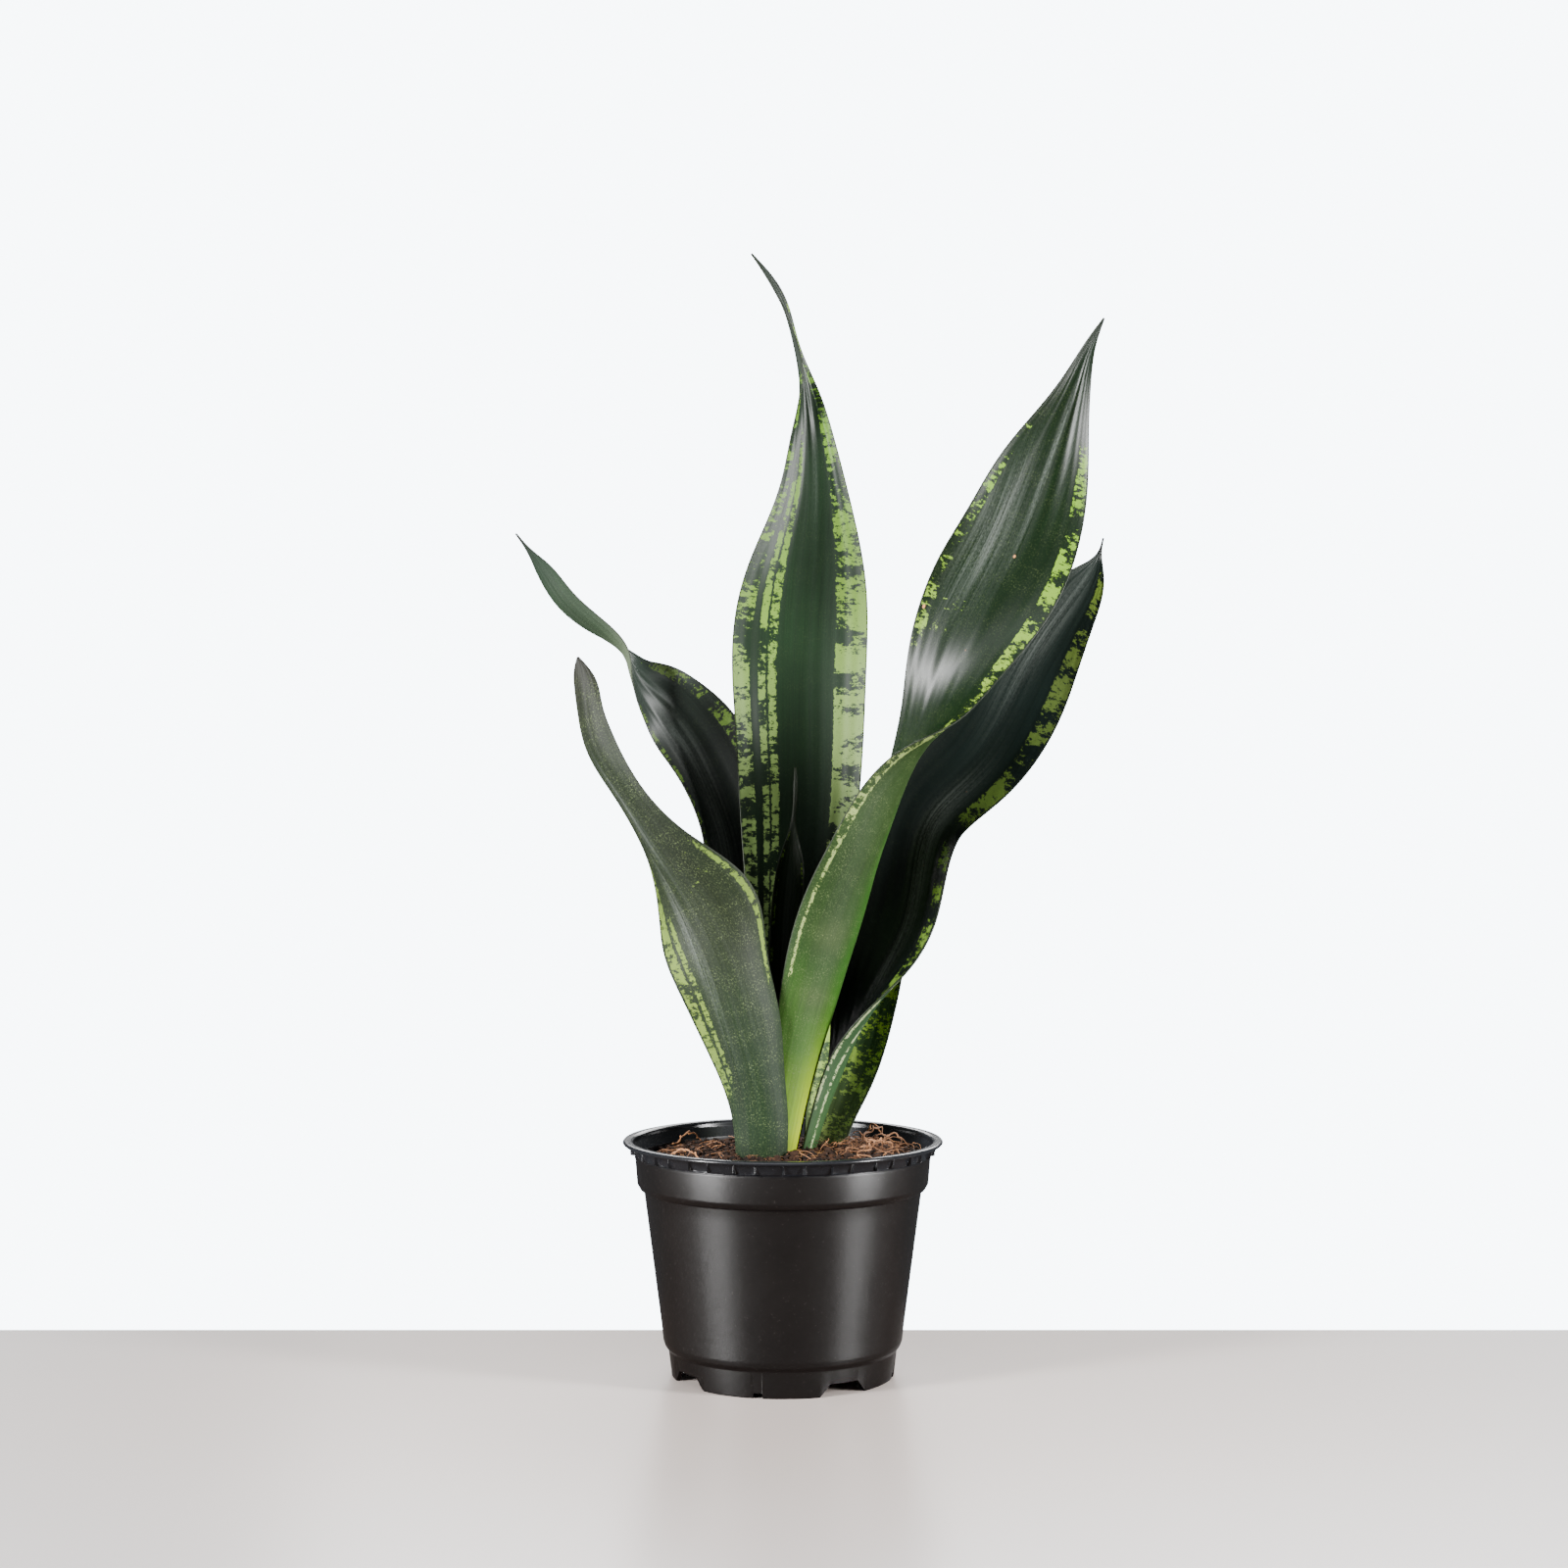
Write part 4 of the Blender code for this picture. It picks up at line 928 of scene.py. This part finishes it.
ROOTS = 6
ROOTS_TURNED = (3, 6)  # these run from the back of their box to its front
ROOT_STEPS, ROOT_SIDES = 40, 10
ROOT_RADIUS = (0.5, 0.22)  # at the start, and how much thinner at the end
ROOT_UNEVEN = 0.12
ROOT_WAVES = ((0.9, 3.2, 1.0), (0.9, 2.7, 2.0), (0.7, 4.1, 3.0))  # x, y, z: size, turns, phase by number
ROOT_LIFT = 2.0
ROOT_TINT_STEP = 0.15  # each root is this much lighter than the one before it
ROOT_NOISE = (900.0, 3.0, 0.6)  # scale, detail, roughness
ROOT_GRAIN = 0.4
ROOT_ROUGHNESS = 0.7
ROOT_BUMP = (0.4, 0.0003)  # strength, distance


def soil_height(x, y):
    """A low dome with a mound at the right and with lumps."""
    points = np.stack([x, y, np.zeros_like(x)], -1)
    dome = SOIL_DOME * (1.0 - (np.hypot(x, y) / SOIL_RADIUS) ** 2)
    off_x, off_y = (x - MOUND_PLACE[0]) / MOUND_REACH[0], (y - MOUND_PLACE[1]) / MOUND_REACH[1]
    mound = MOUND_HEIGHT * np.exp(-off_x ** 2 - off_y ** 2)
    return SOIL_EDGE_HEIGHT + dome + mound + LUMP_HEIGHT * soft_noise(points, **LUMP_NOISE)


def soil_material(name, dark, bright, tint=None):
    """Damp potting mix: dark and reddish brown grains, dull all over."""
    material, n, shader = new_material(name)
    place = n.add("TexCoord").outputs["Object"]
    grain = n.noise(place, *SOIL_NOISES["grain"])
    share = n.weighted(0.0, (grain, GRAIN_PART), (n.noise(place, *SOIL_NOISES["cloud"]), CLOUD_PART))
    colour = n.mix(n.step(share, *BRIGHT_FADE), dark, bright)
    if tint is not None:
        colour = n.mix(n.attribute("tint"), colour, tint)
    n.set(shader, "Base Color", colour)
    n.set(shader, "Roughness", SOIL_ROUGHNESS)
    n.set(shader, "Specular IOR Level", SOIL_SPECULAR)
    n.bump(shader, grain, *SOIL_BUMP)
    return material


def make_soil(material):
    """A closed turned block whose top is the soil's surface, roughened by noise."""
    rings = np.linspace(SOIL_MIDDLE, SOIL_RADIUS, SOIL_RINGS)[:, None]
    angles = np.arange(SOIL_COLUMNS) * 2.0 * np.pi / SOIL_COLUMNS
    top = turned(rings, 0.0, angles).reshape(-1, 3)
    top[:, 2] = soil_height(top[:, 0], top[:, 1])
    top[:, 2] += GRAIN_HEIGHT * soft_noise(top, **GRAIN_NOISE)
    side = np.array(SOIL_SIDE)
    grid = np.vstack([top.reshape(SOIL_RINGS, SOIL_COLUMNS, 3), turned(side[:, :1], side[:, 1:], angles)])
    middle = (0, 0, grid[0, :, 2].mean())
    solid = closed_grid(grid, middle, (0, 0, SOIL_BOTTOM), flipped=True)
    piece = make_piece("potting_mix", *solid, material)
    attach(piece, "root")
    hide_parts("soil")


def scattered(random, count, reach):
    """Even random places on a disc."""
    radius = reach * np.sqrt(random.random(count))
    angle = 2.0 * np.pi * random.random(count)
    return radius * np.cos(angle), radius * np.sin(angle)


def make_crumbs(material):
    """Crumbs of the mix: small uneven balls, flattened, turned and half sunk in the surface."""
    random = np.random.default_rng(SOIL_SEED)
    x, y = scattered(random, CRUMBS, SOIL_RADIUS - CRUMB_GAP)
    size = CRUMB_SIZE[0] + CRUMB_SIZE[1] * random.random(CRUMBS) ** 3.0
    z = soil_height(x, y) + CRUMB_LIFT * size
    polar = np.linspace(0.0, np.pi, CRUMB_RINGS + 2)[1:-1, None]
    around = (np.arange(CRUMB_SIDES) / CRUMB_SIDES + 0.25) * 2.0 * np.pi
    grid = turned(np.sin(polar), np.cos(polar), around)
    ball, quads, triangles = closed_grid(grid, (0, 0, 1), (0, 0, -1), flipped=True)
    lumpy = 1.0 + CRUMB_LUMPS * (random.random((CRUMBS, len(ball))) - 0.5)
    stretch = size[:, None] * (CRUMB_STRETCH[0] + CRUMB_STRETCH[1] * random.random((CRUMBS, 3)))
    turn = 2.0 * np.pi * random.random((CRUMBS, 1))
    shape = ball[None] * lumpy[..., None] * stretch[:, None, :]
    lean = CRUMB_LEAN * (random.random((CRUMBS, 1)) - 0.5)
    turned_x = shape[..., 0] * np.cos(turn) - shape[..., 1] * np.sin(turn)
    turned_y = shape[..., 0] * np.sin(turn) + shape[..., 1] * np.cos(turn)
    leaning_z = shape[..., 2] + lean * shape[..., 0]
    vertices = np.stack([turned_x + x[:, None], turned_y + y[:, None], leaning_z + z[:, None]], -1)
    quads = repeated(quads, CRUMBS, len(ball))
    triangles = repeated(triangles, CRUMBS, len(ball))
    tint = np.repeat(random.random(CRUMBS) ** 2.0, len(ball))
    piece = make_piece("mix_crumbs", vertices.reshape(-1, 3), quads, triangles, material, {"tint": tint})
    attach(piece, "root")


def curly_paths(random, x, y, length, lift):
    """Curly lines that start at (x, y): the heading turns steadily and waves, and the height is a hump."""
    count = len(x)
    share = np.linspace(0.0, 1.0, FIBRE_STEPS)[None, :]
    heading = 2.0 * np.pi * random.random((count, 1))
    heading = heading + (random.random((count, 1)) - 0.5) * FIBRE_TURN * share
    waves = share * (FIBRE_WAVES[0] + FIBRE_WAVES[1] * random.random((count, 1)))
    heading = heading + FIBRE_WAVE_SIZE * np.sin(waves + FIBRE_PHASES * random.random((count, 1)))
    stride = length[:, None] / (FIBRE_STEPS - 1)
    px = x[:, None] + np.cumsum(np.cos(heading), axis=1) * stride
    py = y[:, None] + np.cumsum(np.sin(heading), axis=1) * stride
    inside = np.minimum(1.0, (SOIL_RADIUS - END_GAP) / np.hypot(px, py))
    px, py = px * inside, py * inside
    ground = soil_height(px.ravel(), py.ravel()).reshape(px.shape)
    half_waves = FIBRE_HUMPS[0] + FIBRE_HUMPS[1] * random.random((count, 1))
    hump = np.sin(np.pi * share * half_waves) * lift[:, None]
    return np.stack([px, py, ground + FIBRE_REST + hump], -1)


def tubes(paths, radii, sides):
    """Tapering tubes along many paths of equally many points, as arrays of vertices and faces."""
    count, steps = paths.shape[:2]
    along = unit(np.gradient(paths, axis=1))
    across = unit(np.cross(along, (0.31, 0.17, 0.93)))
    third = np.cross(along, across)
    angle = np.arange(sides) * 2.0 * np.pi / sides
    ring = np.cos(angle)[:, None] * across[:, :, None, :] + np.sin(angle)[:, None] * third[:, :, None, :]
    vertices = paths[:, :, None, :] + radii[:, :, None, None] * ring
    quads = repeated(grid_faces(steps, sides), count, steps * sides)
    caps = repeated(end_caps(steps, sides), count, steps * sides)
    return vertices.reshape(-1, 3), quads, caps


def make_surface_fibres(material):
    """Loose root and coir fibres: most lie at the right of the leaves, and some at the left."""
    random = np.random.default_rng(SOIL_SEED + 1)
    share = random.random(FIBRES)
    x, y = scattered(random, FIBRES, SOIL_RADIUS - FIBRE_GAP)
    for start, end, in_x, in_y in FIBRE_PILES:
        pile = (share >= start) & (share < end)
        x = np.where(pile, in_x[0] + in_x[1] * random.standard_normal(FIBRES), x)
        y = np.where(pile, in_y[0] + in_y[1] * random.standard_normal(FIBRES), y)
    inside = np.minimum(1.0, (SOIL_RADIUS - PILE_GAP) / np.hypot(x, y))
    x, y = x * inside, y * inside
    length = FIBRE_LENGTH[0] + FIBRE_LENGTH[1] * random.random(FIBRES)
    lift = FIBRE_LIFT[0] + FIBRE_LIFT[1] * random.random(FIBRES) ** 2.5
    lift = lift * np.where(share < FIBRE_PILES[0][1], 1.0, FIBRE_LIFT_ELSEWHERE)
    paths = curly_paths(random, x, y, length, lift)
    thick = FIBRE_RADIUS[0] + FIBRE_RADIUS[1] * random.random(FIBRES) ** 2.0
    radii = thick[:, None] * np.linspace(1.0, FIBRE_TIP, FIBRE_STEPS)[None, :]
    vertices, quads, caps = tubes(paths, radii, FIBRE_SIDES)
    tint = np.repeat(random.random(FIBRES) ** 1.4, FIBRE_STEPS * FIBRE_SIDES)
    piece = make_piece("surface_fibres", vertices, quads, caps, material, {"tint": tint})
    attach(piece, "root")


def make_root_fibres(material):
    """The six larger loose roots, each waved within the arch of its node's box."""
    random = np.random.default_rng(SOIL_SEED + 2)
    share = np.linspace(0.0, 1.0, ROOT_STEPS)
    for number in range(1, ROOTS + 1):
        node = f"root_fibre_{number}"
        low, high = (np.array(corner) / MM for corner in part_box(node))
        front, back = (high[1], low[1]) if number in ROOTS_TURNED else (low[1], high[1])
        path = np.stack([low[0] + (high[0] - low[0]) * share, front + (back - front) * share,
                         low[2] + (high[2] - low[2]) * np.sin(np.pi * share) + ROOT_LIFT], -1)
        size, turns, phase = np.array(ROOT_WAVES).T
        quarter = np.array((0.0, 0.5 * np.pi, 0.0))        # y is waved by a cosine
        path += size * np.sin(2.0 * np.pi * share[:, None] * turns + phase * number + quarter)
        radii = ROOT_RADIUS[0] - ROOT_RADIUS[1] * share
        radii = radii * (1.0 + ROOT_UNEVEN * random.standard_normal(ROOT_STEPS))
        vertices, quads, caps = tubes(path[None], radii[None], ROOT_SIDES)
        piece = make_piece(f"loose_root_{number}", vertices, quads, caps, material,
                           {"tint": np.full(len(vertices), ROOT_TINT_STEP * number)})
        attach(piece, "root")
        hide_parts(node)


def fibre_material():
    """Dry root skin: tan to pinkish brown, rough."""
    material, n, shader = new_material("dry root")
    place = n.add("TexCoord").outputs["Object"]
    grain = n.noise(place, *ROOT_NOISE)
    colour = n.mix(n.attribute("tint"), shade(52, 30, 17), shade(206, 144, 96))
    colour = n.mix(n.math("MULTIPLY", grain, ROOT_GRAIN), colour, shade(96, 62, 38))
    n.set(shader, "Base Color", colour)
    n.set(shader, "Roughness", ROOT_ROUGHNESS)
    n.bump(shader, grain, *ROOT_BUMP)
    return material


# ---------------- studio

FLOOR_SIDE = 2600.0
FLOOR_BACK = 93.5  # the floor ends just behind the pot
FLOOR_ROUGHNESS = 0.28
FLOOR_WARM_REACH = (0.10, 0.55)  # metres from the pot over which the warm tone fades
SKY_COLOUR = (0.86, 0.94, 1.0)
SKY_LIGHT = 0.12  # the sky's strength as a light, and what the camera sees more
SKY_SEEN_MORE = 9.5
LAMP_TARGET = (0.0, 0.0, 0.22)
SOFTBOXES = (  # place, size, watts
    ("left softbox", (-1.5, -0.95, 0.45), (0.34, 1.3), 150.0),
    ("right softbox", (1.5, -0.72, 0.45), (0.22, 1.3), 118.0),
    ("front softbox", (-0.1, -0.9, 1.5), (1.4, 0.7), 11.0),
    ("back softbox", (0.2, 1.5, 1.0), (1.6, 0.8), 40.0),
)
CAMERA_PLACE = (0.00056, -1.2, 0.28)  # level with the middle of the leaves
CAMERA_LENS = 57.9
SENSOR = 36.0


def make_floor():
    """A wide pale floor, a little warmer near the pot, that looks darker in reflections."""
    material, n, shader = new_material("studio floor")
    distance = n.add("VectorMath", {"operation": "LENGTH"})
    n.set(distance, 0, n.add("TexCoord").outputs["Object"])
    far = n.step(distance.outputs["Value"], *FLOOR_WARM_REACH)
    seen = n.add("LightPath").outputs["Is Camera Ray"]
    pale = n.mix(far, shade(196, 184, 177), shade(206, 203, 202))
    n.set(shader, "Base Color", n.mix(seen, shade(84, 70, 62), pale))
    n.set(shader, "Roughness", FLOOR_ROUGHNESS)
    side, back = FLOOR_SIDE, FLOOR_BACK
    corners = np.array([(-side, -side, 0), (side, -side, 0), (side, back, 0), (-side, back, 0)], float)
    floor = make_piece("studio_floor", corners, np.array([[0, 1, 2, 3]]), None, material)


def add_softbox(name, place, size, power):
    """A lamp with the given width and height that faces the plant and that the camera doesn't see."""
    lamp = bpy.data.lights.new(name, "AREA")
    lamp.shape = "RECTANGLE"
    lamp.size, lamp.size_y = size
    lamp.energy = power
    made = bpy.data.objects.new(name, lamp)
    made.location = place
    made.visible_camera = False
    direction = Vector(LAMP_TARGET) - Vector(place)
    made.rotation_euler = direction.to_track_quat("-Z", "Y").to_euler()
    bpy.context.scene.collection.objects.link(made)


def make_studio():
    make_floor()
    world = bpy.data.worlds.new("studio")
    world.use_nodes = True
    n = Nodes(world.node_tree)
    background = world.node_tree.nodes["Background"]
    seen = n.add("LightPath").outputs["Is Camera Ray"]
    n.set(background, "Strength", n.math("MULTIPLY_ADD", seen, SKY_SEEN_MORE, SKY_LIGHT))
    n.set(background, "Color", SKY_COLOUR)
    bpy.context.scene.world = world
    for softbox in SOFTBOXES:
        add_softbox(*softbox)

    camera = bpy.data.cameras.new("camera")
    camera.lens = CAMERA_LENS
    camera.sensor_width = SENSOR
    view = bpy.data.objects.new("camera", camera)
    view.location = CAMERA_PLACE
    view.rotation_euler = (np.pi / 2.0, 0.0, 0.0)
    bpy.context.scene.collection.objects.link(view)
    bpy.context.scene.camera = view


def main():
    make_studio()
    make_pot(pot_material())
    make_soil(soil_material("potting mix", shade(9, 6, 4), shade(44, 26, 17)))
    make_crumbs(soil_material("crumb", shade(10, 6, 4), shade(38, 23, 15), shade(66, 42, 27)))
    root = fibre_material()
    make_surface_fibres(root)
    make_root_fibres(root)
    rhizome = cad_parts["rhizome"]
    rhizome.data.materials.clear()
    rhizome.data.materials.append(soil_material("rhizome skin", shade(120, 80, 46), shade(170, 124, 80)))
    finish = leaf_finish_group()
    for seed, (name, plan) in enumerate(LEAVES.items(), start=1):
        make_leaf(name, plan, finish, seed)


main()
